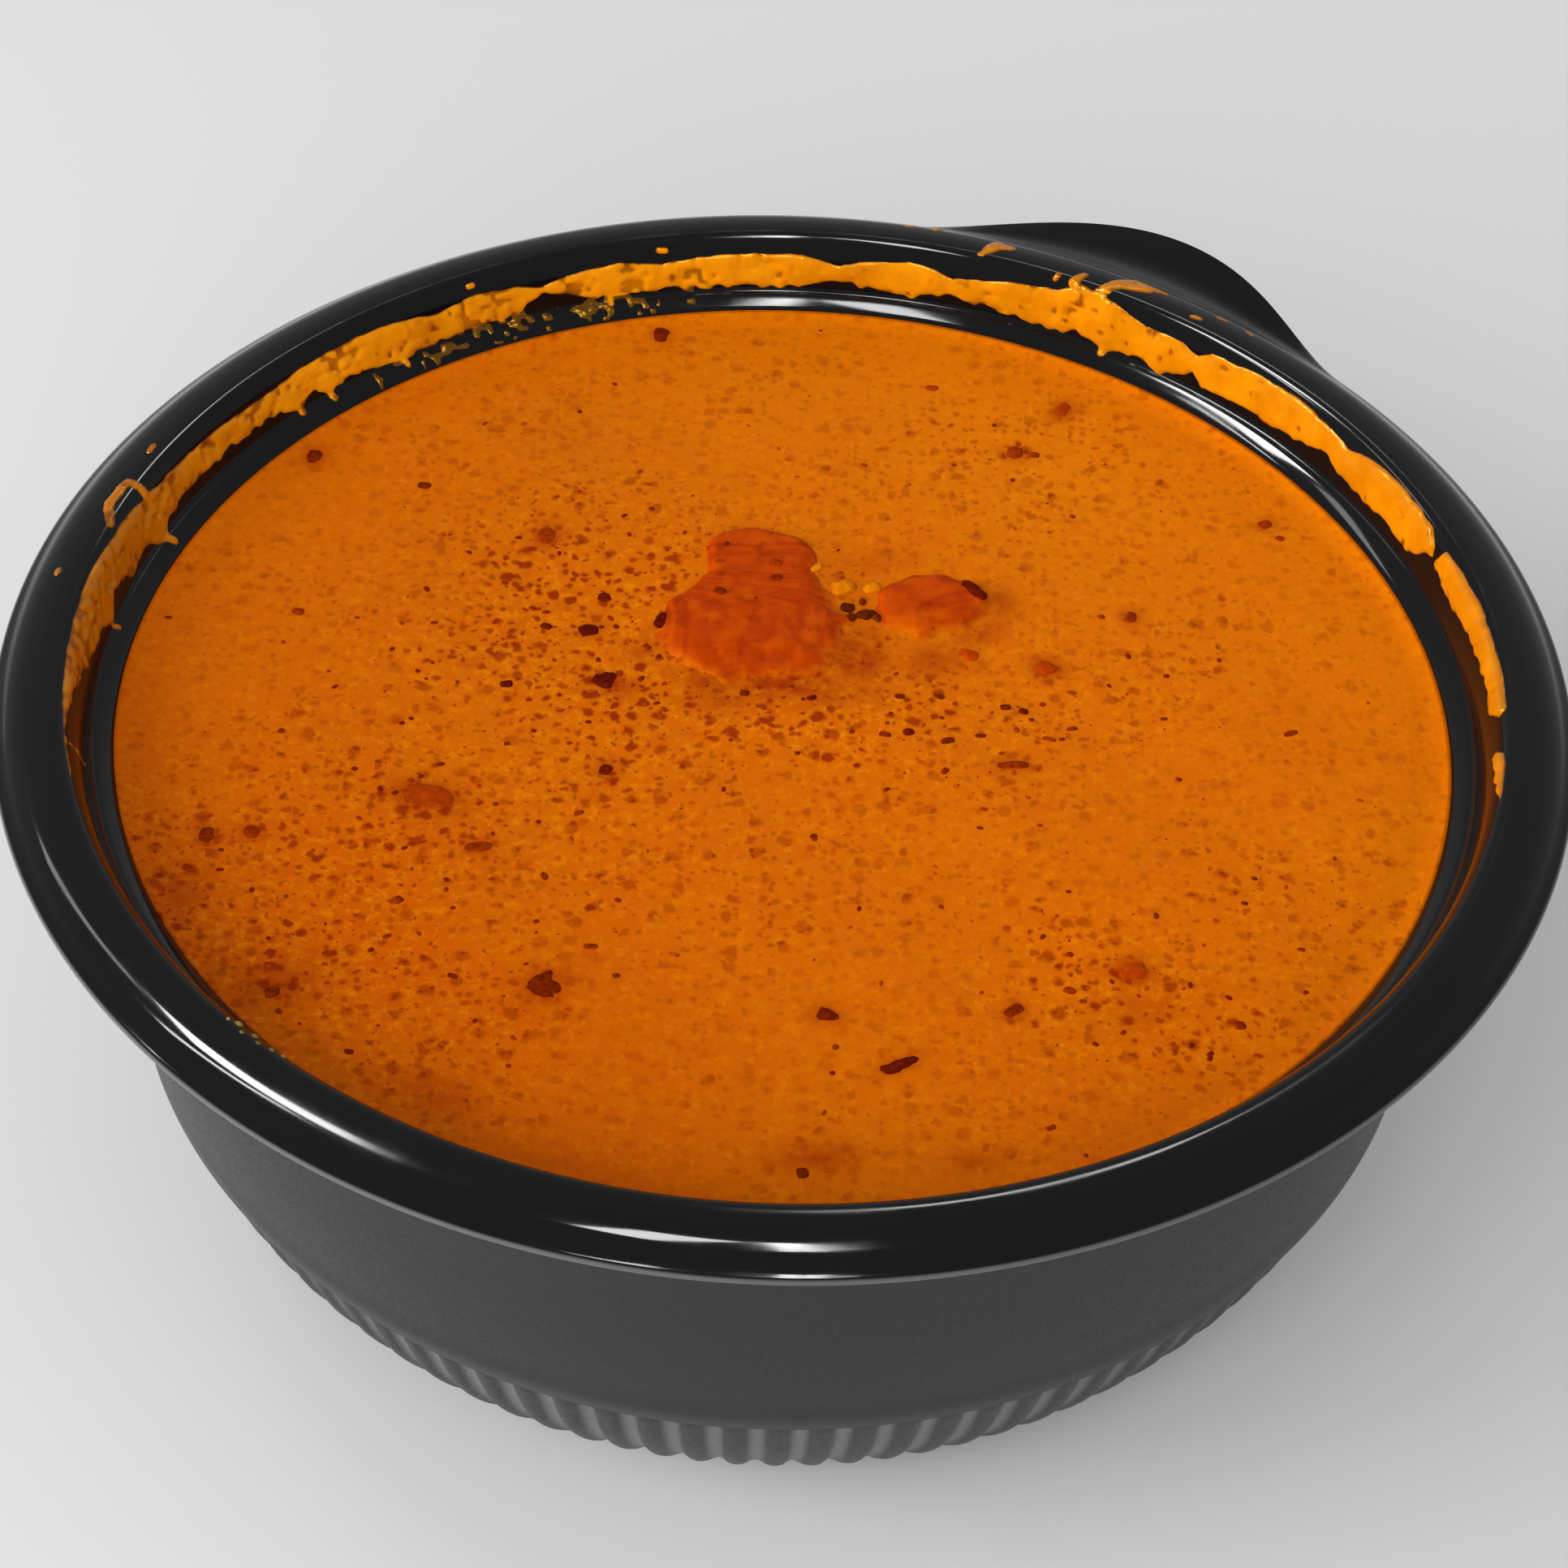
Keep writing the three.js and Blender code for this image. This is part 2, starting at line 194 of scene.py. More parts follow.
def geometry_sheet(name, inputs):
    """A Geometry Nodes tree with one geometry in and out and the named inputs."""
    tree = bpy.data.node_groups.new(name, "GeometryNodeTree")
    tree.interface.new_socket("Geometry", in_out="INPUT", socket_type="NodeSocketGeometry")
    for label, kind in inputs.items():
        tree.interface.new_socket(label, in_out="INPUT", socket_type="NodeSocket" + kind)
    tree.interface.new_socket("Geometry", in_out="OUTPUT", socket_type="NodeSocketGeometry")
    sheet = NodeSheet(tree)
    sheet.given = tree.nodes.new("NodeGroupInput").outputs
    return sheet


def close_sheet(sheet, geometry):
    """Ends a tree in Realize Instances and Set Material."""
    real = sheet.add("GeometryNodeRealizeInstances", Geometry=geometry)
    painted = sheet.add("GeometryNodeSetMaterial", Geometry=real.outputs[0],
                        Material=sheet.given["Material"])
    sheet.add("NodeGroupOutput", Geometry=painted.outputs[0])


def grow(obj, sheet, **values):
    """Runs a tree on an object with the given inputs and keeps the mesh that comes out."""
    modifier = obj.modifiers.new("grow", "NODES")
    modifier.node_group = sheet.tree
    for item in sheet.tree.interface.items_tree:
        if item.in_out == "INPUT" and item.name.replace(" ", "_") in values:
            modifier[item.identifier] = values[item.name.replace(" ", "_")]
    graph = bpy.context.evaluated_depsgraph_get()
    mesh = bpy.data.meshes.new_from_object(obj.evaluated_get(graph), depsgraph=graph)
    obj.modifiers.remove(modifier)
    old = obj.data
    obj.data = mesh
    bpy.data.meshes.remove(old)


def bowl_tree():
    sheet = geometry_sheet("turned_bowl", {
        "Columns": "Int", "Flutes": "Int", "Flute Step": "Float", "Flute Relief": "Float",
        "Flute Crest": "Float", "Tab Azimuth": "Float", "Tab Half Angle": "Float",
        "Tab Reach": "Float", "Tab Sweep": "Float", "Material": "Material"})
    given, math_of = sheet.given, sheet.math
    plus, minus, times = sheet.plus, sheet.minus, sheet.times
    counts = sheet.add("GeometryNodeAttributeDomainSize", Geometry=given["Geometry"])
    rows = counts.outputs["Point Count"]
    grid = sheet.add("GeometryNodeMeshGrid", Size_X=1.0, Size_Y=1.0, Vertices_X=rows,
                     Vertices_Y=plus(given["Columns"], 1))
    position = sheet.add("GeometryNodeInputPosition").outputs[0]
    place = sheet.add("ShaderNodeSeparateXYZ", Vector=position)
    row = math_of("ROUND", times(plus(place.outputs["X"], 0.5), minus(rows, 1)))
    column = plus(place.outputs["Y"], 0.5)

    def from_section(data_type, value):
        return sheet.add("GeometryNodeSampleIndex", {"data_type": data_type},
                         Geometry=given["Geometry"], Value=value, Index=row).outputs[0]

    def share(name):
        return from_section("FLOAT", sheet.field(name))

    point = sheet.add("ShaderNodeSeparateXYZ", Vector=from_section("FLOAT_VECTOR", position))
    angle = times(column, 2 * math.pi)
    across = math_of("FRACT", times(column, given["Flutes"]))
    from_crest = math_of("ABSOLUTE", minus(times(across, 2), 1))
    fall = sheet.steps(from_crest, given["Flute Crest"], 1.0)
    on_flute = share("flute_share")
    inset = times(on_flute, plus(given["Flute Step"], times(given["Flute Relief"], fall)))
    from_tab = math_of("ABSOLUTE", minus(angle, given["Tab Azimuth"]))
    part = math_of("MINIMUM", math_of("DIVIDE", from_tab, given["Tab Half Angle"]), 1.0)
    bell = math_of("POWER", math_of("COSINE", times(part, math.pi / 2)), given["Tab Sweep"])
    reach = times(times(share("tab_share"), given["Tab Reach"]), bell)
    radius = plus(minus(point.outputs["X"], inset), reach)
    turned = sheet.add("ShaderNodeCombineXYZ", X=times(radius, math_of("COSINE", angle)),
                       Y=times(radius, math_of("SINE", angle)), Z=point.outputs["Z"])
    on_tab = times(math_of("MINIMUM", times(times(share("tab_share"), bell), 4), 1), 0.85)
    off_tab = minus(1, math_of("MINIMUM", times(bell, 4), 1))
    # Painted highlight on the lip's edge and the ridge, kept off the tab.
    pale = times(share("pale_share"), math_of("MAXIMUM", off_tab, share("satin_share")))
    marked = grid
    # The flute valleys, the ridge and the lip's edge are marked for a lighter grey: painted sheen
    # and painted highlight.
    for name, value in (("satin", math_of("MAXIMUM", share("satin_share"), on_tab)),
                        ("painted_sheen", math_of("MAXIMUM", times(on_flute, fall), pale))):
        marked = sheet.add("GeometryNodeStoreNamedAttribute",
                           {"data_type": "FLOAT", "domain": "POINT"},
                           Geometry=marked.outputs[0], Name=name, Value=value)
    shaped = sheet.add("GeometryNodeSetPosition", Geometry=marked.outputs[0],
                       Position=turned.outputs[0])
    closed = sheet.add("GeometryNodeMergeByDistance", Geometry=shaped.outputs[0],
                       Distance=0.01 * MM)
    outward = sheet.add("GeometryNodeFlipFaces", Mesh=closed.outputs[0])
    smooth = sheet.add("GeometryNodeSetShadeSmooth", Geometry=outward.outputs[0])
    close_sheet(sheet, smooth.outputs[0])
    return sheet


def new_material(name):
    """A material with only an output, and the sheet that its nodes are added with."""
    material = bpy.data.materials.new(name)
    material.use_nodes = True
    material.node_tree.nodes.clear()
    sheet = NodeSheet(material.node_tree)
    sheet.output = sheet.add("ShaderNodeOutputMaterial")
    sheet.place = sheet.add("ShaderNodeTexCoord").outputs["Object"]
    return material, sheet


def srgb(red, green, blue):
    """A colour in the renderer's own values, from one as seen on a screen, 0 to 255."""
    def straight(c):
        c /= 255
        return c / 12.92 if c <= 0.04045 else ((c + 0.055) / 1.055) ** 2.4
    return (straight(red), straight(green), straight(blue), 1.0)


def black_polypropylene():
    material, sheet = new_material("black_polypropylene")
    satin = sheet.attribute("satin")
    painted_sheen = sheet.attribute("painted_sheen")
    gloss_black, satin_black, sheen_grey = srgb(7, 7, 8), srgb(30, 28, 29), srgb(98, 96, 99)
    smudges = sheet.noise(60.0, 4.0, 0.6)
    grain = sheet.noise(fine_grain_size * 2.2, 3.0, 0.7)
    colour = sheet.mix(sheet.steps(satin, 0.85, 1.0), gloss_black, satin_black)
    # Painted sheen and highlight: the flute valleys, the ridge and the lip's edge are mixed towards
    # a lighter grey.
    colour = sheet.mix(sheet.steps(painted_sheen, 0.25, 1.0), colour, sheen_grey)
    glossy = sheet.steps(smudges, 0.35, 0.75, 0.06, 0.14)
    dull = sheet.steps(grain, 0.3, 0.7, 0.40, 0.52)
    rough = sheet.plus(sheet.times(satin, dull), sheet.times(sheet.minus(1.0, satin), glossy))
    texture = sheet.times(sheet.plus(sheet.times(satin, 0.9), 0.1), grain)
    bump = sheet.add("ShaderNodeBump", Strength=0.25, Distance=0.04 * MM, Height=texture)
    # The gloss fades over the tab, and comes back as a broad sheen on the satin wall.
    fading = sheet.steps(satin, 0.05, 0.5, 0.2, 0.05)
    shine = sheet.plus(fading, sheet.steps(satin, 0.85, 1.0, 0.0, 0.45))
    shader = sheet.add("ShaderNodeBsdfPrincipled", Base_Color=colour, Roughness=rough,
                       Normal=bump.outputs[0], Specular_IOR_Level=shine)
    sheet.feed(sheet.output, "Surface", shader.outputs[0])
    return material


plastic = black_polypropylene()
grow(bowl, bowl_tree(), Columns=700, Flutes=100, Flute_Step=0.7 * MM, Flute_Relief=1.0 * MM,
     Flute_Crest=0.2, Tab_Azimuth=math.radians(61), Tab_Half_Angle=math.radians(20),
     Tab_Reach=11.05 * MM, Tab_Sweep=1.7, Material=plastic)
bowl.data.name = "bowl_shell"
bowl.data.set_sharp_from_angle(angle=math.radians(50))
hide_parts("bowl")
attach(bowl, "root")


# ---- Curry ---------------------------------------------------------------------------
# Smooth orange curry sauce, poured in to just under the ledge. It swells a little, climbs
# the wall at its edge, and its colour runs from yellow at the back to red at the front left.
# This slope is partly the sauce's own tint and partly painted light and shade.

curry_level = bowl_height - 9.3 * MM
curry_edge = 79.42 * MM  # reaches just into the wall
climb_width, climb_height = 3.2 * MM, 0.5
swell_height = 0.12


def curry_height(x, y):
    """The height of the curry's skin over a point in plan, in metres."""
    radius = np.hypot(x, y)
    to_wall = np.clip(1 - (curry_edge - radius) / climb_width, 0, 1)
    u, v = x / MM, y / MM
    swell = np.sin(u / 11 + 0.7) * np.cos(v / 9) + 0.6 * np.sin((u + v) / 6.5)
    ripple = 0.35 * np.sin(u / 2.9 + 1.7 * np.sin(v / 7.1)) * np.sin(v / 3.3 + np.cos(u / 5.7))
    waves = swell_height * (swell + ripple) * (1 - to_wall)
    return curry_level + MM * (climb_height * to_wall ** 2 + waves)


def on_skin(x, y, lift):
    """A place on the curry's skin, or above it. All three numbers are in millimetres."""
    return x * MM, y * MM, curry_height(x * MM, y * MM) + lift * MM


# Each stain is where colour bleeds from a fleck or the meat: its middle, its half length and
# half width in millimetres, its turn in degrees, and its strength.
stains = [
    (-18.4, 73.4, 2, 1.6, 90, .6), (-61.5, 45.1, 2.2, 1.6, 100, .8),
    (-30.6, 30.9, 2.4, 1.8, 80, .8), (-24.3, 13.5, 2.1, 1.7, 20, .6), (-21, 3.8, 3, 2, -20, .9),
    (-20.7, -11.5, 1.8, 1.5, 70, .6), (-41, -17.2, 4.4, 2.7, -12, 1.),
    (-34.6, -25.2, 2.4, 1.3, 8, .7), (-60.7, -24.1, 1.8, 1.5, 0, .7),
    (-65.9, -24.8, 2.2, 1.5, 80, .7), (-25.3, -46.7, 3.2, 2.9, 45, .8),
    (6.1, -49.7, 2.2, 1.8, -20, .7), (14, -56.7, 3.4, 1.3, 28, .6), (27.1, -7.9, 3, 1.2, 5, .6),
    (40.1, -41.2, 2.6, 2.3, 0, 1.), (26.6, -47.8, 2, 1.4, 40, .7), (28.4, 51.3, 2.2, 1.7, 0, .7),
    (34.8, 60.7, 2.7, 1.6, 70, .9), (59.9, 38.5, 1.8, 1.4, 30, .6), (42.2, 19.6, 1.8, 1.3, 80, .6),
    (31.5, 9.6, 2.4, 1.8, -30, .9), (-55, -48, 5, 3.5, 30, .6), (-36, -63.5, 4.5, 2.5, -20, .5),
    (5, -70.5, 5, 2.4, 10, .6), (22, -70, 3.5, 1.8, 0, .5), (-68, -34, 4, 3, 60, .5),
    (42, -46, 7, 4, 20, .35), (8, 12, 5, 3.2, 60, .65), (4, 3, 7.5, 2.6, 5, .6),
    (-8, 2, 6, 2.4, -10, .55), (18, 10.5, 4.5, 3, 20, .6), (-17.5, 10, 2.6, 3, 0, .5),
    (11, 28.5, 5, 2.5, 10, .35), (0, 4.5, 7, 3.2, 5, .9), (8.5, 9.5, 4, 4, 40, .85),
    (-9, 5, 4.5, 2.4, -10, .8), (23.5, 15.5, 4, 2.5, 30, .6), (26, 21, 2.5, 3, 0, .6)]
# Each crowd of spice is its middle and its reach across and up in millimetres, its strength,
# and its number of specks.
speck_crowds = [
    (-24, 12, 15, 13, 1, 120), (4, -1, 17, 6, 1, 90), (-52, -38, 14, 16, .8, 110),
    (-28, -16, 18, 14, .7, 70), (38, -46, 11, 8, .7, 50), (0, 0, 42, 40, .25, 130),
    (-20, 36, 14, 6, .6, 30), (60, -32, 7, 10, .5, 20), (30, 50, 12, 12, .4, 15),
    (35, 6, 12, 9, .5, 20)]


def crowding(x, y):
    """How thickly spice lies at each place in millimetres, from 0 to 1."""
    thick = np.zeros(np.shape(x))
    for middle_x, middle_y, reach_x, reach_y, strength, _ in speck_crowds:
        gap = ((x - middle_x) / (1.3 * reach_x)) ** 2 + ((y - middle_y) / (1.3 * reach_y)) ** 2
        thick = np.maximum(thick, strength * np.exp(-0.5 * gap))
    return thick


def bleeding(x, y):
    """How strongly the sauce is stained at each place in millimetres, from 0 to 1."""
    bleed = np.zeros(np.shape(x))
    for middle_x, middle_y, half_long, half_wide, turn, strength in stains:
        c, d = math.cos(math.radians(turn)), math.sin(math.radians(turn))
        u = (x - middle_x) * c + (y - middle_y) * d
        v = (y - middle_y) * c - (x - middle_x) * d
        bleed = np.maximum(bleed, strength * np.exp(-(u / half_long) ** 2 - (v / half_wide) ** 2))
    return bleed


def turned_curry(rings, columns):
    """A closed turned mesh from rings of (radius, height), from its lower to its upper pole."""
    angles = np.linspace(0, 2 * math.pi, columns, endpoint=False)
    points = [(0, 0, rings[0][1])]
    for radius, height in rings[1:-1]:
        points += [(radius * math.cos(a), radius * math.sin(a), height) for a in angles]
    points = np.array(points + [(0, 0, rings[-1][1])])
    on_top = points[:, 2] > curry_level - 0.01 * MM
    points[on_top, 2] = curry_height(points[on_top, 0], points[on_top, 1])
    faces, top = [], len(points) - 1
    last = top - columns
    for i in range(columns):
        j = (i + 1) % columns
        faces += [(0, 1 + j, 1 + i), (last + i, last + j, top)]
        for a in range(1, last, columns):
            faces.append((a + i, a + j, a + columns + j, a + columns + i))
    x, y = points[:, 0] / MM, points[:, 1] / MM
    spice = {"crowd": crowding(x, y), "bleed": bleeding(x, y)}
    return new_object("curry_sauce", points, faces, spice)


curry_side = [
    (50, 68.2), (57, 68), (62.1, 66.3), (67.6, 62.3), (73.7, 54.8), (78.1, 43.9), (79.2, 32.6),
    (79.2, 20), (79.4, 10.6)]
skin_rings, curry_columns = 150, 500
curry_rings = [(0, bowl_height - curry_side[0][1] * MM)]
curry_rings += [(r * MM, bowl_height - d * MM) for r, d in curry_side]
curry_rings += [(r, curry_level) for r in np.linspace(curry_edge, 0, skin_rings)]
curry = turned_curry(curry_rings, curry_columns)


def spots(sheet, place, scale, largest, share_with_spots):
    """Soft round spots of mixed sizes, one in each cell that has one, from 0 to 1."""
    cells = sheet.add("ShaderNodeTexVoronoi", {"voronoi_dimensions": "2D"}, Vector=place,
                      Scale=scale)
    pick = sheet.add("ShaderNodeSeparateColor", Color=cells.outputs["Color"])
    has_one = sheet.math("LESS_THAN", pick.outputs[0], share_with_spots)
    radius = sheet.times(sheet.plus(pick.outputs[1], 0.45), largest / 1.45)
    inner = sheet.times(radius, 0.35)
    return sheet.times(sheet.steps(cells.outputs["Distance"], radius, inner), has_one)


def sauce_colour(sheet):
    """Orange, lighter to the back and redder to the left and front, partly its own tint and partly
    painted light and shade, with spice in its skin.
    """
    red, orange = srgb(206, 80, 0), srgb(214, 102, 0)
    amber, pale = srgb(222, 116, 0), srgb(238, 138, 2)
    murky, stained, spiced = srgb(186, 66, 0), srgb(160, 48, 0), srgb(144, 32, 0)
    axes = sheet.add("ShaderNodeSeparateXYZ", Vector=sheet.place)
    back = sheet.times(axes.outputs["Y"], 1 / rim_radius)
    right = sheet.times(axes.outputs["X"], 1 / rim_radius)
    # Partly painted light and shade: the colour runs lighter to the back and right and redder to
    # the front and left.
    slope = sheet.plus(sheet.times(back, 0.5), sheet.times(right, 0.4))
    clouds = sheet.minus(sheet.noise(26.0, 3.0, 0.55), 0.5)
    tint_and_shade = sheet.plus(slope, sheet.times(clouds, 0.8))
    base = sheet.mix(sheet.steps(tint_and_shade, -0.8, -0.1), red, orange)
    base = sheet.mix(sheet.steps(tint_and_shade, -0.1, 0.7), base, amber)

    crowd = sheet.attribute("crowd")
    grain = sheet.steps(sheet.noise(850.0, 3.0, 0.7), 0.45, 0.72, 0.0, 0.5)
    base = sheet.mix(sheet.times(grain, sheet.plus(crowd, 0.5)), base, pale)
    bend = sheet.add("ShaderNodeTexNoise", Vector=sheet.place, Scale=600.0, Detail=2.0)
    bent = sheet.add("ShaderNodeMix", {"data_type": "VECTOR"}, i0=0.0016, i4=sheet.place,
                     i5=bend.outputs["Color"])
    patchy = sheet.steps(sheet.noise(70.0, 2.0, 0.6), 0.35, 0.65, 0.6, 1.2)
    thick = sheet.times(sheet.plus(sheet.times(crowd, 0.95), 0.22), patchy)
    fine = spots(sheet, bent.outputs[1], 720.0, 0.58, 0.5)
    middling = spots(sheet, bent.outputs[1], 340.0, 0.46, 0.6)
    speckled = sheet.plus(sheet.times(fine, 0.75), sheet.times(middling, 0.9))
    clouded = sheet.times(thick, sheet.steps(sheet.noise(380.0, 3.0, 0.7), 0.45, 0.75, 0.0, 0.5))
    blotch = sheet.steps(sheet.noise(500.0, 3.0, 0.65), 0.25, 0.6, 0.45, 1.15)
    blotched = sheet.math("MINIMUM", sheet.times(sheet.attribute("bleed"), blotch), 1.0)
    base = sheet.mix(blotched, sheet.mix(clouded, base, murky), stained)
    return sheet.mix(sheet.math("MINIMUM", sheet.times(speckled, thick), 0.9), base, spiced)


oily_tint = (1.0, 0.5, 0.06, 1)
wet_look = (0.42, 0.03, 0.4)  # roughness, shine and the strength of the grain


def sauce_shader(sheet, colour, roughness, shine, bump_strength):
    grain = sheet.noise(fine_grain_size, 4.0, 0.6)
    bump = sheet.add("ShaderNodeBump", Strength=bump_strength, Distance=0.12 * MM, Height=grain)
    shader = sheet.add("ShaderNodeBsdfPrincipled", Base_Color=colour, Normal=bump.outputs[0])
    shader.inputs["Roughness"].default_value = roughness
    shader.inputs["Specular IOR Level"].default_value = shine
    shader.inputs["Specular Tint"].default_value = oily_tint
    sheet.feed(sheet.output, "Surface", shader.outputs[0])


def curry_material():
    material, sheet = new_material("curry_sauce")
    sauce_shader(sheet, sauce_colour(sheet), *wet_look)
    return material


curry.data.materials.append(curry_material())
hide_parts("curry")
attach(curry, "root")


# ---- Lamb ----------------------------------------------------------------------------
# Two pieces of stewed lamb that just break the surface. The meat is red-brown, with fibres
# in arcs and upright wrinkles, and sauce runs over it at the lower right.

lamb_outlines = {
    "lamb_piece_large": [
        (8.2, 18), (4.2, 24.5), (2, 31.5), (-5.3, 34), (-10.3, 31), (-10.4, 25), (-14.6, 19),
        (-16.2, 13), (-12.6, 7), (-4, 5.4), (5, 8)],
    "lamb_piece_small": [
        (24.8, 20.5), (22.6, 25), (16.5, 26.3), (11.6, 23.4), (10.8, 18), (14.6, 14.6), (21, 15)]}
lamb_crowns = {"lamb_piece_large": 1.0, "lamb_piece_small": 0.7}
lamb_depth = 8.6
lamb_pitch = 0.3
lamb_margin = 1.0  # how far the pieces run on, sunk in the sauce, past their outlines
lamb_brim = 0.12  # how far below the skin their tops are at their outlines


def value_noise(x, y, size, seed):
    """Smooth noise from 0 to 1 over places in a plane, with bumps of a given size."""
    table = np.random.default_rng(seed).random((256, 256))
    u, v = x / size, y / size
    i, j = np.floor(u).astype(int), np.floor(v).astype(int)
    a, b = u - i, v - j
    a, b = a * a * (3 - 2 * a), b * b * (3 - 2 * b)
    near = table[i % 256, j % 256] * (1 - a) + table[(i + 1) % 256, j % 256] * a
    far = table[i % 256, (j + 1) % 256] * (1 - a) + table[(i + 1) % 256, (j + 1) % 256] * a
    return near * (1 - b) + far * b


def outline_depth(outline, x, y):
    """How far inside a closed outline each place lies. It is negative outside."""
    nearest = np.full(x.shape, 1e9)
    inside = np.zeros(x.shape, bool)
    for (ax, ay), (bx, by) in zip(outline, outline[1:] + outline[:1]):
        across, up = bx - ax, by - ay
        part = np.clip(((x - ax) * across + (y - ay) * up) / (across ** 2 + up ** 2), 0, 1)
        nearest = np.minimum(nearest, np.hypot(x - ax - part * across, y - ay - part * up))
        if up:
            crossing = ax + (y - ay) * across / up
            inside ^= ((ay > y) != (by > y)) & (x < crossing)
    return np.where(inside, nearest, -nearest)


def closed_patch(name, front, back, kept, values):
    """A closed solid between two grids of points, made of the cells that are kept."""
    rows, columns = front.shape[:2]
    used = np.zeros((rows, columns), bool)
    for di in (0, 1):
        for dj in (0, 1):
            used[di:rows - 1 + di, dj:columns - 1 + dj] |= kept
    count = int(used.sum())
    number = np.full((rows, columns), -1)
    number[used] = np.arange(count)
    faces = []
    framed = np.pad(kept, 1)
    for i, j in zip(*np.nonzero(kept)):
        a, b, c, d = (int(number[p]) for p in ((i, j), (i, j + 1), (i + 1, j + 1), (i + 1, j)))
        faces.append((a, b, c, d))
        faces.append((a + count, d + count, c + count, b + count))
        for beside, p, q in (((i, j + 1), a, b), ((i + 1, j + 2), b, c),
                             ((i + 2, j + 1), c, d), ((i + 1, j), d, a)):
            if not framed[beside]:
                faces.append((q, p, p + count, q + count))
    points = np.concatenate([front[used], back[used]])
    return new_object(name, points, faces, {key: np.tile(v[used], 2) for key, v in values.items()})


def smooth_outline(outline, steps=6):
    run = smooth_run([outline[-1]] + outline + outline[:2], steps)
    return [tuple(p) for p in run[steps:steps + steps * len(outline)]]


def lamb_material():
    material, sheet = new_material("stewed_lamb")
    sauced = sheet.attribute("sauced")
    fibre = sheet.attribute("fibre")
    brown, rust = srgb(164, 44, 0), srgb(198, 70, 0)
    ginger, char = srgb(208, 86, 0), srgb(136, 30, 0)
    patches = sheet.noise(210.0, 3.0, 0.6)
    strand = sheet.plus(sheet.times(fibre, 0.6), sheet.times(sheet.noise(420.0, 3.0), 0.9))
    meat = sheet.mix(sheet.steps(strand, 0.2, 1.25), brown, rust)
    meat = sheet.mix(sheet.steps(patches, 0.48, 0.75, 0.0, 0.6), meat, ginger)
    meat = sheet.mix(sheet.steps(sheet.noise(330.0, 3.0, 0.6), 0.52, 0.72, 0.0, 0.6), meat, char)
    cover = sheet.plus(sauced, sheet.times(sheet.minus(patches, 0.5), 1.4))
    colour = sheet.mix(sheet.steps(cover, 0.25, 0.95), meat, sauce_colour(sheet))
    sauce_shader(sheet, colour, *wet_look)
    return material


lamb_surface = lamb_material()
for node, outline in lamb_outlines.items():
    outline = smooth_outline(outline)
    corners = np.array(outline)
    spread = lamb_margin + lamb_pitch
    (low_x, low_y), (high_x, high_y) = corners.min(0), corners.max(0)
    middle_x, middle_y = corners.mean(0)
    y, x = np.meshgrid(np.arange(low_y - spread, high_y + spread, lamb_pitch),
                       np.arange(low_x - spread, high_x + spread, lamb_pitch))
    # The back left edge stands clear. The front right edge slopes gently under the sauce.
    towards = (x - middle_x) * 0.6 - (y - middle_y) * 0.8
    side = np.clip(towards / 12 + 0.42, 0, 1)
    ragged = ((0.5 + 2.4 * side) * (value_noise(x, y, 2.4, 3) - 0.5)
              + 0.4 * (value_noise(x, y, 0.9, 4) - 0.5))
    inside = outline_depth(outline, x, y) + ragged
    # Fibres lie in arcs at the back of a piece and run upright at its front.
    arcs = np.hypot(x - middle_x - 3, (y - low_y) * 1.3)
    lower = np.clip((middle_y + 2 - y) / 6 + 0.5, 0, 1)
    bend = 2.2 * value_noise(x, y, 5.0, 5)
    fibre = value_noise((arcs + bend) * (1 - lower) + (x + bend) * lower, 0.16 * y, 0.8, 8)
    part = np.clip(inside / (1.3 + 5.5 * side), 0, 1)
    rise = part * (2 - part)
    top = lamb_crowns[node] * rise + 0.1 * (fibre - 0.5) * rise - lamb_brim
    top = np.where(inside > 0, top, -lamb_brim + 0.5 * inside)
    sauced = side * np.clip(1.15 - inside / 2.8, 0, 1)
    under = lamb_depth * np.sqrt(np.clip((inside + lamb_margin) / 6, 0, 1))
    front = np.dstack(on_skin(x, y, top))
    back = np.dstack([x * MM, y * MM, curry_level - 0.75 * MM - under * MM])
    near = inside > -lamb_margin
    kept = near[:-1, :-1] & near[1:, 1:] & near[1:, :-1] & near[:-1, 1:]
    lamb = closed_patch(node.replace("piece", "meat"), front, back, kept, {
        "sauced": sauced, "fibre": fibre, "crowd": crowding(x, y), "bleed": bleeding(x, y)})
    lamb.data.flip_normals()
    lamb.data.materials.append(lamb_surface)
    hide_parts(node)
    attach(lamb, "root")


# ---- Spice flecks --------------------------------------------------------------------
# Flakes of dried chilli and whole-spice husk that float on the curry. They are flat, dark
# red-brown and ragged. A few are soft and redder, soaked and half under the skin.


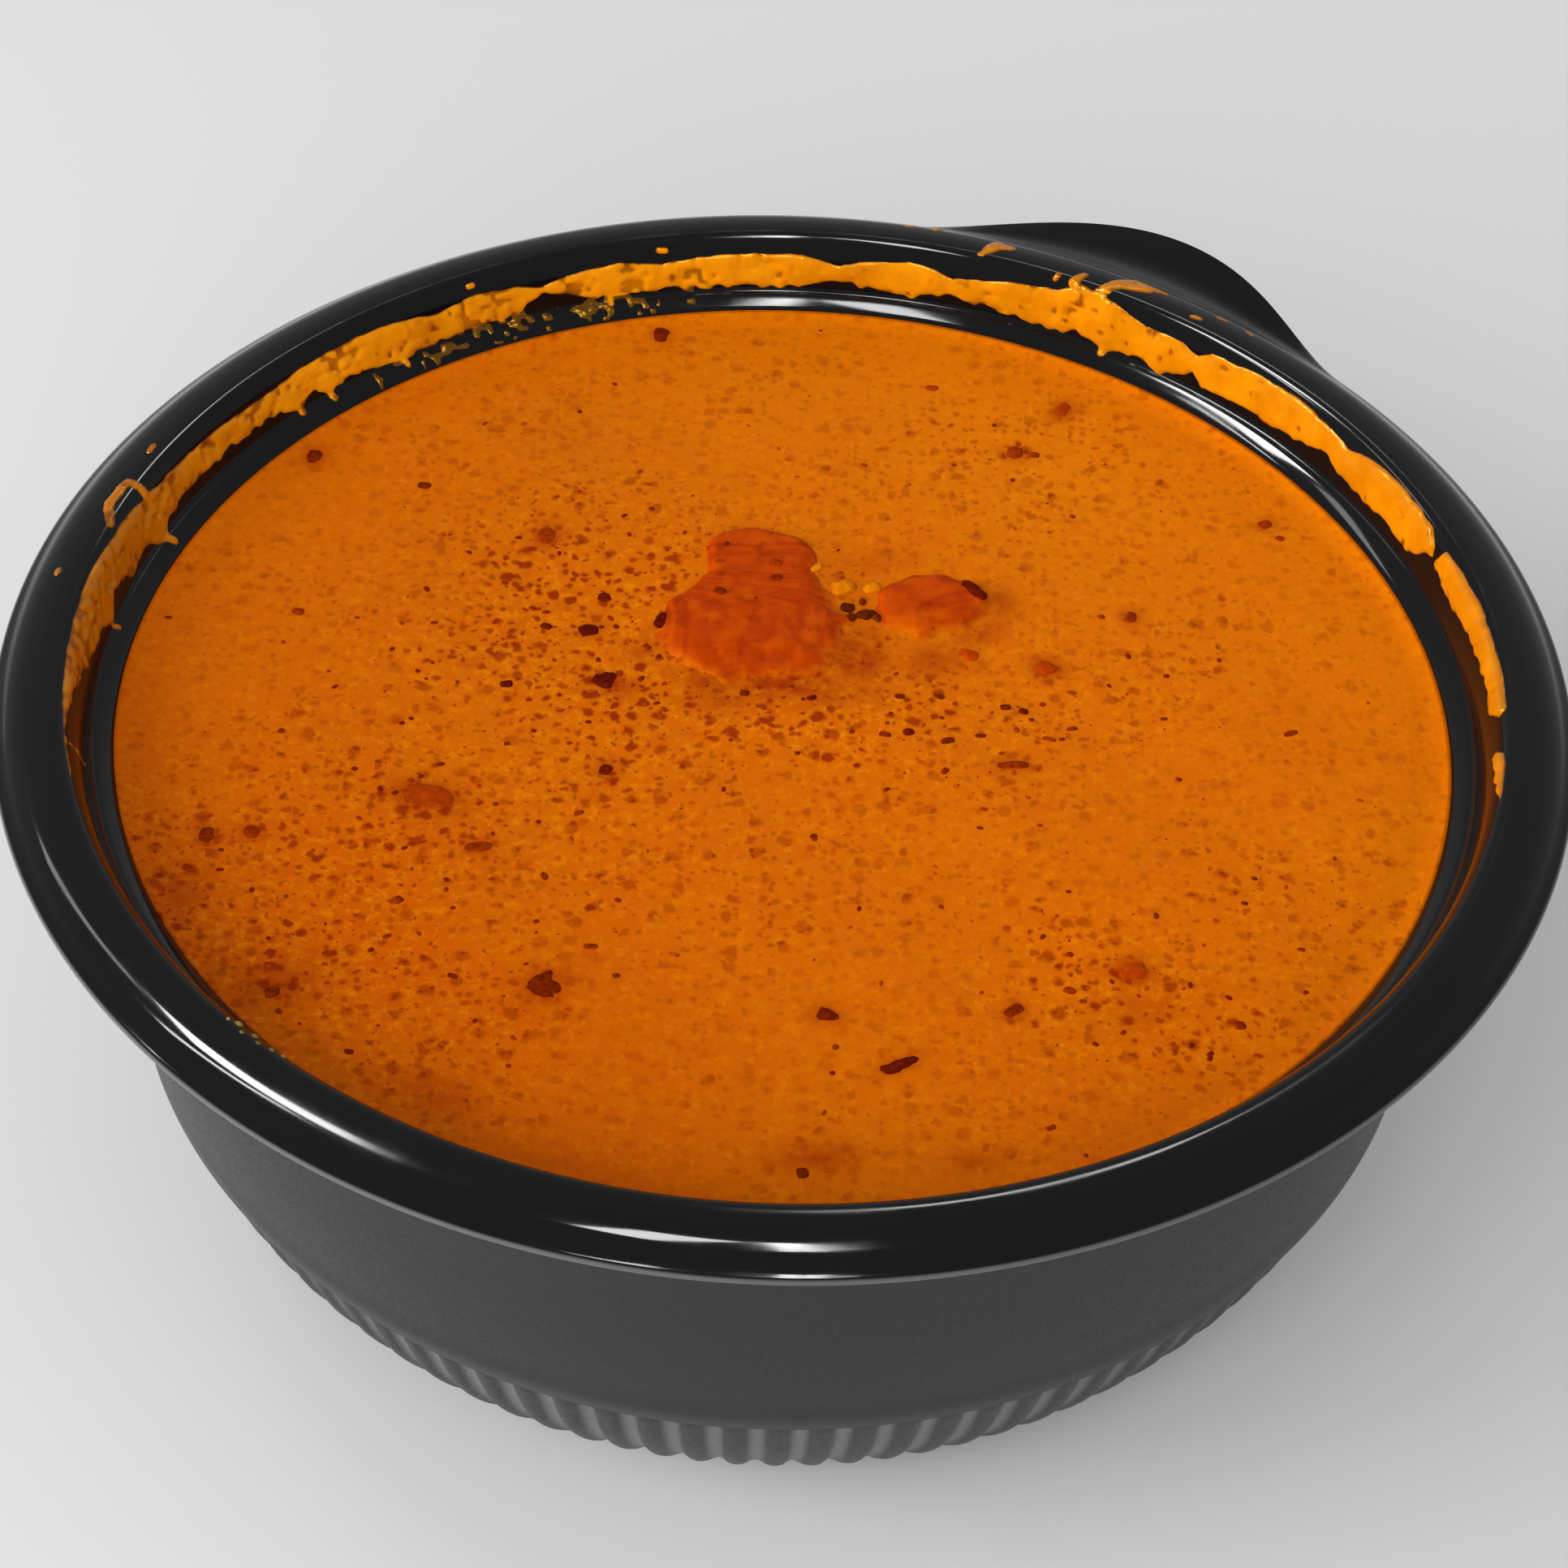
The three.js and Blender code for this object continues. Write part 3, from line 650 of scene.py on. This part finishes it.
def scatter_tree():
    """Lumps on points, with each point's own size, turn and tone, and a ragged outline."""
    sheet = geometry_sheet("scattered_bits", {
        "Detail": "Int", "Raggedness": "Float", "Rag Scale": "Float", "Squareness": "Float",
        "Material": "Material"})
    given, math_of, times = sheet.given, sheet.math, sheet.times
    position = sheet.add("GeometryNodeInputPosition").outputs[0]
    ball = sheet.add("GeometryNodeMeshIcoSphere", Radius=1.0, Subdivisions=given["Detail"])
    here = sheet.add("ShaderNodeSeparateXYZ", Vector=position)
    x, y = here.outputs["X"], here.outputs["Y"]
    furthest = math_of("MAXIMUM", math_of("ABSOLUTE", x), math_of("ABSOLUTE", y))
    radius = math_of("SQRT", sheet.plus(times(x, x), times(y, y)))
    to_square = math_of("DIVIDE", radius, math_of("MAXIMUM", furthest, 0.001))
    spread = sheet.plus(1, times(given["Squareness"], sheet.minus(to_square, 1)))
    squared = sheet.add("ShaderNodeCombineXYZ", X=times(x, spread), Y=times(y, spread),
                        Z=here.outputs["Z"])
    chip = sheet.add("GeometryNodeSetPosition", Geometry=ball.outputs[0],
                     Position=squared.outputs[0])
    turn = sheet.add("ShaderNodeCombineXYZ", X=sheet.field("tilt"), Z=sheet.field("turn"))
    size = sheet.add("ShaderNodeCombineXYZ", X=sheet.field("long"), Y=sheet.field("wide"),
                     Z=sheet.field("thick"))
    placed = sheet.add("GeometryNodeInstanceOnPoints", Points=given["Geometry"],
                       Instance=chip.outputs[0], Rotation=turn.outputs[0], Scale=size.outputs[0])
    real = sheet.add("GeometryNodeRealizeInstances", Geometry=placed.outputs[0])
    rag = sheet.add("ShaderNodeTexNoise", Scale=given["Rag Scale"], Detail=1.0, Vector=position)
    centred = sheet.add("ShaderNodeVectorMath", {"operation": "SUBTRACT"}, i0=rag.outputs["Color"],
                        i1=(0.5, 0.5, 0.5))
    offset = sheet.add("ShaderNodeVectorMath", {"operation": "SCALE"}, i0=centred.outputs[0],
                       Scale=times(given["Raggedness"], sheet.field("wide")))
    flat = sheet.add("ShaderNodeVectorMath", {"operation": "MULTIPLY"}, i0=offset.outputs[0],
                     i1=(1, 1, 0.3))
    moved = sheet.add("GeometryNodeSetPosition", Geometry=real.outputs[0], Offset=flat.outputs[0])
    smooth = sheet.add("GeometryNodeSetShadeSmooth", Geometry=moved.outputs[0])
    close_sheet(sheet, smooth.outputs[0])
    return sheet


scatter = scatter_tree()


def scattered(name, places, sizes, turns, tilts, tones, material, detail, raggedness, rag_scale,
              squareness):
    """One mesh of many small bits. Sizes are (half length, half width, half thickness)."""
    sizes = np.array(sizes) * MM
    points = new_object(name, places, [], {
        "long": sizes[:, 0], "wide": sizes[:, 1], "thick": sizes[:, 2],
        "turn": np.radians(turns), "tilt": np.radians(tilts), "tone": np.array(tones, float)})
    grow(points, scatter, Detail=detail, Raggedness=raggedness, Rag_Scale=rag_scale,
         Squareness=squareness, Material=material)
    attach(points, "root")
    return points


def bits_material(name, dark, light, roughness, shine):
    """A mottled material that runs from dark to light with each bit's own tone."""
    material, sheet = new_material(name)
    tone = sheet.attribute("tone")
    mottles = sheet.minus(sheet.noise(1500.0, 3.0, 0.6), 0.5)
    share = sheet.plus(tone, sheet.times(mottles, 0.8))
    colour = sheet.mix(sheet.steps(share, 0.0, 1.0), dark, light)
    sauce_shader(sheet, colour, roughness, shine, 0.6)
    return material


# Each fleck is its place, length, width and turn, in millimetres and degrees, and its tone.
large_flecks = [
    (-18.4, 73.4, 3.7, 2.5, 90, .3), (-61.5, 45.1, 3.1, 2.3, 100, .3),
    (-46.9, 40.1, 2.2, 1.5, -10, .3), (-30.6, 30.9, 3.6, 2.6, 80, .6), (-24.3, 13.5, 3, 2.5, 20, 0),
    (-21.8, 4.5, 3.8, 2.9, 60, .1), (-22.8, 19.6, 2, 1.8, 0, .2), (-20.7, -11.5, 2.3, 2, 70, .2),
    (-41, -17.2, 6.4, 4.4, -12, .7), (-34.6, -25.2, 3.5, 1.8, 8, .5),
    (-60.7, -24.1, 2.3, 2.1, 0, .5), (-65.9, -24.8, 3, 2, 80, .4), (-25.3, -46.7, 5, 4.4, 45, .3),
    (6.1, -49.7, 3.2, 2.5, -20, .25), (14, -56.7, 5.8, 1.7, 28, .15),
    (27.1, -7.9, 4.7, 1.5, 5, .45), (40.1, -41.2, 3.6, 3.2, 0, .8), (26.6, -47.8, 3, 1.8, 40, .4),
    (28.4, 51.3, 2.9, 2.5, 0, .5), (34.8, 60.7, 3.6, 2, 70, .7), (59.9, 38.5, 2.3, 1.9, 30, .5),
    (42.2, 19.6, 2.4, 1.8, 80, .5), (31.5, 9.6, 3, 2.2, -30, .7), (22.9, 23.1, 5.2, 1.8, -45, .1),
    (-15.4, 15.2, 3.6, 2, 70, .1)]
small_flecks = [
    (-29.5, 13.8, 1.8, 1.3, 0, .2), (-33.5, 2.9, 2, 1.6, 10, .1), (-60, 14.8, 1.8, 1.4, 80, .5),
    (-55.4, -49.5, 2.2, 1.9, 40, .4), (-20.7, -40.4, 2, 1, 10, .5), (32.9, -44.4, 1.8, 1.2, 60, .5),
    (51.7, -48.7, 1.7, 1.5, 0, .4), (17.7, 64.2, 2, 1.5, 0, .6), (60.6, -.4, 2.2, 1, 10, .4),
    (26.5, 2.3, 1.6, 1.2, 0, .3), (22, 11.6, 3.2, 2.2, -20, .9), (3.8, -72.7, 1.8, 1.6, 0, .3),
    (30.8, 51, 1.6, 1.4, 0, .5), (61.5, 36, 1.4, 1.1, 0, .5), (38.5, 19.4, 1.2, .9, 0, .5),
    (-5, 3, 1.6, 1.4, 0, .25), (3.2, 2.4, 1.5, 1.2, 20, .2), (13.8, 3.4, 1.5, 1.1, 0, .25),
    (18.5, 3.6, 1.6, .9, 0, .25), (14.9, -3, 1.7, 1.3, 0, .2), (12, -3.6, 2, 1, 0, .35),
    (19.6, -4.2, 2.2, 1.3, 0, .25), (23.4, -3, 1.6, .8, 0, .3), (31.6, -3, 2.2, .8, 5, .5),
    (34.4, -1, 1.8, .8, 0, .5), (28.6, 1.8, 1.4, 1.1, 0, .2), (-8.6, 20.5, 2, 1.4, 30, .35),
    (-1.7, 23.6, 2, 1.5, 0, .35), (-1.8, 26.6, 2, 1.1, 0, .5)]
flecks = large_flecks + small_flecks
chilli = bits_material("dried_chilli", srgb(88, 12, 0), srgb(182, 62, 0), 0.5, 0.02)
fleck_half = 0.42  # a ragged fleck's half size, as a share of its whole one
fleck_thickness, fleck_sink = 0.24, 0.03
fleck_places = []
for x, y, *rest in flecks:
    lift = 0
    for node, outline in lamb_outlines.items():
        on_meat = outline_depth(smooth_outline(outline), np.array([x]), np.array([y]))[0]
        lift = max(lift, lamb_crowns[node] * np.clip(on_meat / 1.5, 0, 1))
    fleck_places.append(on_skin(x, y, lift - fleck_sink))
fleck_turns = [f[4] for f in large_flecks] + [37 * i % 60 - 30 for i in range(len(small_flecks))]
fleck_sizes = [(fleck_half * f[2], fleck_half * f[3], fleck_thickness) for f in flecks]
spice_flecks = scattered("spice_flecks", fleck_places, fleck_sizes, fleck_turns, [4] * len(flecks),
                         [f[5] for f in flecks], chilli, 4, 1.1, 560.0, 0.4)
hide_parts("curry")


# ---- Spice specks --------------------------------------------------------------------
# Ground pepper and spice that the sauce carries, in specks under a millimetre. They crowd
# round the lamb, at the lower left and at the lower right.

speck_reach = 77  # no speck lies further out than this
smallest_speck, speck_range = 0.12, 0.30
missing_on_meat = 0.6  # this share of the specks over the meat has sunk beside it
rng = np.random.default_rng(11)
speck_places, speck_sizes, speck_tones = [], [], []
for middle_x, middle_y, reach_x, reach_y, _, number in speck_crowds:
    made = 0
    while made < number:
        x, y = rng.normal(middle_x, reach_x), rng.normal(middle_y, reach_y)
        covered = any(math.hypot(x - f[0], y - f[1]) < f[2] / 2 for f in flecks)
        if covered or math.hypot(x, y) > speck_reach:
            continue
        made += 1
        half = smallest_speck + speck_range * rng.random() ** 2.6
        meat = max((outline_depth(o, np.array([x]), np.array([y]))[0], lamb_crowns[n])
                   for n, o in lamb_outlines.items())
        if meat[0] > 0 and rng.random() < missing_on_meat:
            continue
        lift = meat[1] * np.clip((meat[0] - 0.2) / 1.6, 0, 1)
        speck_places.append(on_skin(x, y, lift - 0.02))
        speck_sizes.append((half * rng.uniform(1, 1.7), half, min(half * 0.5, 0.14)))
        speck_tones.append(0.15 + 0.85 * rng.random() ** 0.7 if half < 0.28
                           else 0.5 * rng.random())
ground = bits_material("ground_spice", srgb(122, 26, 0), srgb(182, 70, 0), 0.5, 0.02)
count = len(speck_places)
spice_specks = scattered("spice_specks", speck_places, speck_sizes, rng.uniform(0, 180, count),
                         rng.uniform(-8, 8, count), speck_tones, ground, 2, 0.7, 1500.0, 0.4)
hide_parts("curry")


# ---- Onion and herb ------------------------------------------------------------------
# Beside the lamb lie two soft pale crumbs of onion and a torn bit of dark green herb.

onion_bits = [(6.6, 23.2, 1.5, 1.4, .5), (10.2, 23.4, 1.3, .8, .35), (3.2, 26.9, 1.1, .5, .35)]
herb_bits = [
    (7.2, 19.4, 1, .8, .3), (9.6, 18.2, 1.3, .8, .3), (7.6, 17.4, .9, .7, .3),
    (9, 20.6, .6, .5, .25), (11, 17.6, .7, .5, .25)]
for name, bits, dark, light in (
        ("onion_bits", onion_bits, srgb(206, 108, 2), srgb(228, 136, 8)),
        ("herb_bits", herb_bits, srgb(70, 12, 0), srgb(106, 34, 0))):
    places = [on_skin(x, y, 0.15) for x, y, *rest in bits]
    order = range(len(bits))
    piece = scattered(name, places, [b[2:] for b in bits], [25 * i for i in order],
                      [6] * len(bits), [0.3 + 0.2 * i for i in order],
                      bits_material(name, dark, light, 0.45, 0.03), 4, 1.3, 700.0, 0.0)
    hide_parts("curry")


# ---- Smeared sauce -------------------------------------------------------------------
# Sauce that slopped against the wall when the bowl was carried and has clung there in a
# thin band, with drips below it and splashes over the rim's crest.

# The band's edges: azimuth in degrees, and millimetres down the wall from the crest.
upper_edge = [
    (198, .4), (197, .2), (172, .2), (170, .5), (165, 1), (160, 1.8), (155, 2), (150, 2.3),
    (145, 2.6), (140, 2.2), (135, 2), (130, 2.2), (127, 2.8), (125, 3.5), (121, 2.4), (117, 3),
    (114.5, 3.8), (113, 3.3), (110, 2.7), (107, 2.4), (103, 3.2), (98, 2.5), (90, 2.5), (88, 3.2),
    (86.5, 3.8), (84.5, 3), (80, 2.2), (77.5, 2.8), (76, 3.5), (72, 2.7), (68, 1.9), (66, 1.6),
    (64, 0), (62, .4), (59, 1.5), (57, 2.2), (53, 2.3), (51.3, 3), (50, 1.8), (45, 1.2), (40, .8),
    (35, 1.5), (33, 2), (30, .8), (25, .5), (20, .6), (18.5, 1.8), (17.6, 4), (17, .8), (15, .4),
    (10, .2), (5, 0), (-3, 0), (-4, 2), (-7, 2), (-8, .5), (-10, .2), (-14, 0), (-14.5, 1)]
lower_edge = [
    (198, .3), (190, 1), (187, 2), (185, 3), (182, 4.3), (180, 5.3), (176, 6), (174, 7.5),
    (172, 4.5), (170, 5.5), (168, 7), (164, 6), (162, 8.8), (160, 6), (155, 5.8), (150, 5.6),
    (145, 5.6), (141, 7.5), (139, 6), (137.5, 8), (135, 6.3), (132, 7), (129, 7.8), (127, 7.2),
    (122, 6.8), (119, 7), (117, 6.5), (114.5, 4.9), (112, 5), (110, 6.5), (108, 7.3), (103, 6.8),
    (95, 7), (90, 6.9), (88, 6.3), (86, 6), (82, 7), (80, 7.2), (76, 6.2), (72, 6.5), (67, 7.2),
    (65, 7.2), (63.5, 6.3), (60.5, 7.6), (57, 6.7), (54.5, 7.5), (51.3, 5.3), (50, 6.8), (46, 6.7),
    (42, 6.5), (40, 6), (38, 5.3), (35.5, 4.8), (33, 5.5), (31, 5.7), (27, 6), (22, 5.7), (20, 5),
    (18.5, 3.5), (17.6, 2.6), (17, 3.9), (12, 4.4), (10, 3.6), (7, 3.8), (3, 2.8), (-2, 3.2),
    (-3.5, 1.5), (-4, 1), (-7, 1), (-8, 2.6), (-10, 2), (-12, 1.5), (-14, .3), (-14.5, 0)]
# Splashes and drips: azimuth and distance at both ends, and the half widths there.
splashes = [
    (167, -.4, 164.5, -2, .6, .7), (164.5, -2, 161.6, -1.6, .7, .6),
    (161.6, -1.6, 161.8, 1.5, .6, .7), (73.8, -.6, 72.8, -3.2, .6, 1.2),
    (72.8, -3.2, 71.8, -3.4, 1.2, .8), (64.9, 0, 64.4, -1.9, .8, .5), (62.4, .5, 61.4, -2, .9, 1),
    (61.4, -2, 60.2, -4.2, 1.1, 1.1), (60.2, -4.2, 57.3, -4.5, 1, .5),
    (60.8, -2.6, 58.9, -3.6, 1, 1), (66.6, .2, 66.4, -.6, .5, .5), (81, -4.6, 80.4, -5, .45, .4),
    (78.6, -5, 78.2, -5.4, .5, .4), (53.6, -2, 53, -2.1, .4, .35),
    (52.1, -4.4, 51.2, -4.7, .45, .35), (49.2, -4.6, 48.5, -4.5, .45, .35),
    (173.7, -3.7, 173.2, -3.6, .4, .35), (157.4, -2, 156.6, -2.2, .4, .4),
    (121.4, 1.2, 121, 1.2, .4, .4), (103.2, 1.4, 102.6, 1.5, .45, .4), (193.2, 1, 193, 5, .3, .3),
    (174.2, 5, 174, 8.2, .7, .6), (162.4, 5, 161.6, 8.9, .9, .6), (141.2, 5, 141, 7.6, .8, .6),
    (137.6, 5, 137.4, 8.3, .8, .6), (129.3, 6, 129.1, 8.6, .7, .5), (108.1, 6, 108, 8, .6, .5),
    (60.6, 6, 60.5, 8.1, .8, .6)]
film_depth = 0.42
film_root = 0.3  # how far the film's back lies inside the wall
wall_radius = 83.0

rim_line = section[lip_end:inside_start + 3]
steps_along = [0.0] + [(b - a).length for a, b in zip(rim_line, rim_line[1:])]
along = np.cumsum(steps_along)
rim_r = np.array([p.x for p in rim_line])
rim_d = np.array([p.y for p in rim_line])
crest_at = along[np.argmin(np.hypot(rim_r - 84.75, rim_d - 0.3))]
s_line = np.arange(-6.4, 10.4, 0.24)
azimuth = np.arange(200.0, -17.0, -0.26)
rows_r = np.interp(s_line + crest_at, along, rim_r)
rows_d = np.interp(s_line + crest_at, along, rim_d)
slope_r, slope_d = np.gradient(rows_r), np.gradient(rows_d)
slope = np.hypot(slope_r, slope_d)
out_r, out_z = -slope_d / slope, -slope_r / slope
az_grid, s_grid = np.meshgrid(azimuth, s_line, indexing="ij")
arc_mm = np.radians(az_grid) * wall_radius


def wall_noise(size, seed):
    return value_noise(arc_mm, s_grid, size, seed)


def round_the_wall(pairs):
    """A value at each azimuth, from pairs that run from the left of the bowl to its right."""
    places, values = zip(*pairs)
    return np.interp(-azimuth, -np.array(places), values)[:, None]


fuzz = 0.6 * (wall_noise(4.6, 21) - 0.5) + 0.8 * (wall_noise(1.2, 22) - 0.5)
upper, lower = round_the_wall(upper_edge), round_the_wall(lower_edge)
band = np.minimum(s_grid - upper + 0.3 * fuzz, lower - s_grid + fuzz)
for a1, s1, a2, s2, w1, w2 in splashes:
    x1, x2 = math.radians(a1) * wall_radius, math.radians(a2) * wall_radius
    length = max((x2 - x1) ** 2 + (s2 - s1) ** 2, 1e-9)
    part = np.clip(((arc_mm - x1) * (x2 - x1) + (s_grid - s1) * (s2 - s1)) / length, 0, 1)
    gap = np.hypot(arc_mm - x1 - part * (x2 - x1), s_grid - s1 - part * (s2 - s1))
    band = np.maximum(band, w1 + part * (w2 - w1) - gap + 0.35 * fuzz)
# Dried sauce lies in spots on the ledge below the band, at the back left.
in_spots = (np.clip(1 - np.abs(az_grid - 117) / 17, 0, 1)
            * np.clip(1 - np.abs(s_grid - 8.2) / 2.2, 0, 1))
dried = 1.2 * (wall_noise(1.0, 24) - 0.84 + 0.3 * np.minimum(in_spots * 2, 1)) * (in_spots > 0)
dry = np.where((band < 0) & (dried > 0), 1.0, 0.0)
band = np.where(in_spots > 0, np.maximum(band, dried), band)
lumps = wall_noise(2.2, 23)
# The film is worn thin in patches, most of all at the left.
worn_above = round_the_wall([(180, 0.27), (105, 0.22), (60, 0.12), (20, 0.05)])
worn = np.clip((wall_noise(2.9, 25) * 0.5 + wall_noise(0.9, 26) * 0.5 - worn_above) * 4, 0.16, 1)
# How light the film is round the wall, from 0 to 1: partly painted light on the lit wall and partly
# the sauce's own tone.
light_and_tone = round_the_wall([(165, 0.12), (150, 0.42), (138, 0.9), (127, 0.48), (108, 0.8), (96, 0.52),
                         (75, 0.38), (40, 0.26), (0, 0.14)])
dots = np.clip((wall_noise(1.3, 27) - 0.86) * 9, 0, 0.85)
film = np.where(band > 0, film_depth * (1 - np.exp(-band / 0.35)) * (0.6 + 0.8 * lumps) * worn,
                np.maximum(band, -film_root))
film[s_grid < 0.5] *= 0.6
turn = np.radians(az_grid)


def on_wall(offset):
    radius = (rows_r + out_r * offset) * MM
    height = np.minimum(bowl_height - rows_d * MM + out_z * offset * MM, bowl_height)
    return np.dstack([radius * np.cos(turn), radius * np.sin(turn), height])


near = band > -film_root
kept = near[:-1, :-1] | near[1:, 1:] | near[1:, :-1] | near[:-1, 1:]
film_back = np.full(film.shape, -film_root - 0.1)
smear = closed_patch("sauce_smear", on_wall(film), on_wall(film_back), kept, {
    "film": film, "dry": dry, "dots": dots, "light_and_tone": light_and_tone + 0 * film})


def smear_material():
    material, sheet = new_material("clinging_sauce")
    film_here = sheet.attribute("film")
    light_and_tone = sheet.attribute("light_and_tone")
    dry = sheet.attribute("dry")
    dots = sheet.attribute("dots")
    amber, yellow, thin_brown = srgb(180, 102, 0), srgb(242, 152, 8), srgb(126, 62, 2)
    spice, dried_olive = srgb(120, 40, 0), srgb(88, 60, 16)
    patches = sheet.minus(sheet.noise(160.0, 3.0, 0.6), 0.5)
    # The sauce runs from amber to yellow with this share, which is partly painted light.
    share = sheet.plus(light_and_tone, sheet.times(patches, 0.9))
    sauce = sheet.mix(sheet.steps(share, 0.0, 1.0), amber, yellow)
    colour = sheet.mix(sheet.steps(film_here, 0.01, 0.16), thin_brown, sauce)
    colour = sheet.mix(dry, sheet.mix(dots, colour, spice), dried_olive)
    sauce_shader(sheet, colour, 0.16, 0.5, 1.0)
    return material


smear.data.materials.append(smear_material())
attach(smear, "root")


# ---- Dried crumbs --------------------------------------------------------------------
# A few grains of dried sauce stuck to the inner edge of the rim at the front left.

# Each crumb is its azimuth, radius, depth below the crest, half length and half width.
crumbs = [
    (-128.6, 84.7, .45, .5, .35), (-129.8, 85, .4, .4, .3), (-130.6, 84.4, .7, .55, .35),
    (-131.4, 85.2, .36, .35, .28), (-132.3, 84.5, .65, .6, .4), (-127.7, 84.4, .7, .3, .25),
    (-133.1, 84.9, .42, .3, .25)]
crumb_places = [(radius * MM * math.cos(math.radians(at)), radius * MM * math.sin(math.radians(at)),
                 bowl_height - depth * MM) for at, radius, depth, *rest in crumbs]
crumb_sauce = bits_material("dried_sauce", srgb(70, 58, 26), srgb(150, 132, 72), 0.5, 0.3)
dried_crumbs = scattered("dried_crumbs", crumb_places, [(c[3], c[4], 0.3) for c in crumbs],
                         [c[0] + 90 for c in crumbs], [0] * len(crumbs),
                         [0.15 * i for i in range(len(crumbs))], crumb_sauce, 3, 1.0, 900.0, 0.2)


# ---- Table, camera and light ---------------------------------------------------------
# A plain pale table top, a camera where the photograph was taken from, a softly lit room,
# and the window panes and ceiling lamps whose reflections show in the gloss.

reach = 3.0
floor = new_object("table_top", [(-reach, -reach, 0), (reach, -reach, 0), (reach, reach, 0),
                                 (-reach, reach, 0)], [(0, 1, 2, 3)])
material, sheet = new_material("pale_table")
tone = sheet.steps(sheet.noise(3.0, 2.0), 0.3, 0.7)
shader = sheet.add("ShaderNodeBsdfPrincipled", Base_Color=sheet.mix(
    tone, srgb(218, 218, 219), srgb(222, 222, 222)), Roughness=0.6)
sheet.feed(sheet.output, "Surface", shader.outputs[0])
floor.data.materials.append(material)

camera_distance = 5 * rim_radius
camera_height = math.radians(41.45)
camera_roll = math.radians(2.26)
rim_middle = Vector((0, 0, bowl_height))
eye = rim_middle + camera_distance * Vector((0, -math.cos(camera_height), math.sin(camera_height)))
aim = rim_middle + rim_radius * Vector((0.0026, -0.2418, 0))
forward = (aim - eye).normalized()
level = forward.cross(Vector((0, 0, 1))).normalized()
upright = level.cross(forward)
right = math.cos(camera_roll) * level + math.sin(camera_roll) * upright
top = math.cos(camera_roll) * upright - math.sin(camera_roll) * level
camera_data = bpy.data.cameras.new("camera")
camera_data.sensor_width = 36
camera_data.lens = 90.4
camera = bpy.data.objects.new("camera", camera_data)
view_axes = Matrix((right, top, -forward)).transposed()
camera.matrix_world = Matrix.Translation(eye) @ view_axes.to_4x4()
bpy.context.scene.collection.objects.link(camera)
bpy.context.scene.camera = camera


def soft_light(name, azimuth, elevation, distance, width, height, power):
    """A rectangular light that faces the bowl from a direction in degrees."""
    data = bpy.data.lights.new(name, "AREA")
    data.shape = "RECTANGLE"
    data.size, data.size_y = width, height
    data.energy = power
    light = bpy.data.objects.new(name, data)
    a, e = math.radians(azimuth), math.radians(elevation)
    towards = Vector((math.cos(a) * math.cos(e), math.sin(a) * math.cos(e), math.sin(e)))
    light.matrix_world = (Matrix.Translation(rim_middle + distance * towards)
                          @ towards.to_track_quat("Z", "Y").to_matrix().to_4x4())
    bpy.context.scene.collection.objects.link(light)
    return light


# The room's broad light has no shape in the gloss. The panes and lamps show only there.
# Each is its azimuth and elevation in degrees, distance, width, height and power.
room_lights = [
    ("room_left", 184, 5, 2.2, 1.2, 0.4, 52), ("room_side", 192, 30, 2.6, 1.4, 0.9, 13),
    ("room_front", 250, 28, 3, 4, 2, 74)]
gloss_lights = [
    ("pane_near", 174, 50, 1.6, 0.07, 0.5, 5), ("pane_far", 155, 59, 1.6, 0.3, 0.4, 23),
    ("pane_low", 150, 40, 1.6, 0.12, 0.5, 1.6), ("window_back", 84, 48, 1.8, 0.2, 0.12, 1.5),
    ("lamp_left", 240, 73, 1.6, 0.2, 0.45, 12), ("lamp_middle", 275, 72, 1.6, 0.05, 0.5, 4.5),
    ("lamp_right", 280, 72, 1.6, 0.05, 0.5, 4.5), ("lamp_far", 286, 72, 1.6, 0.05, 0.4, 1)]
for numbers in room_lights:
    soft_light(*numbers).visible_glossy = False
for numbers in gloss_lights:
    soft_light(*numbers).visible_diffuse = False

world = bpy.data.worlds.new("room")
world.use_nodes = True
backdrop = world.node_tree.nodes["Background"]
backdrop.inputs["Color"].default_value = (0.98, 0.99, 1.0, 1)
backdrop.inputs["Strength"].default_value = 0.53
bpy.context.scene.world = world
bpy.context.scene.view_settings.view_transform = "Standard"
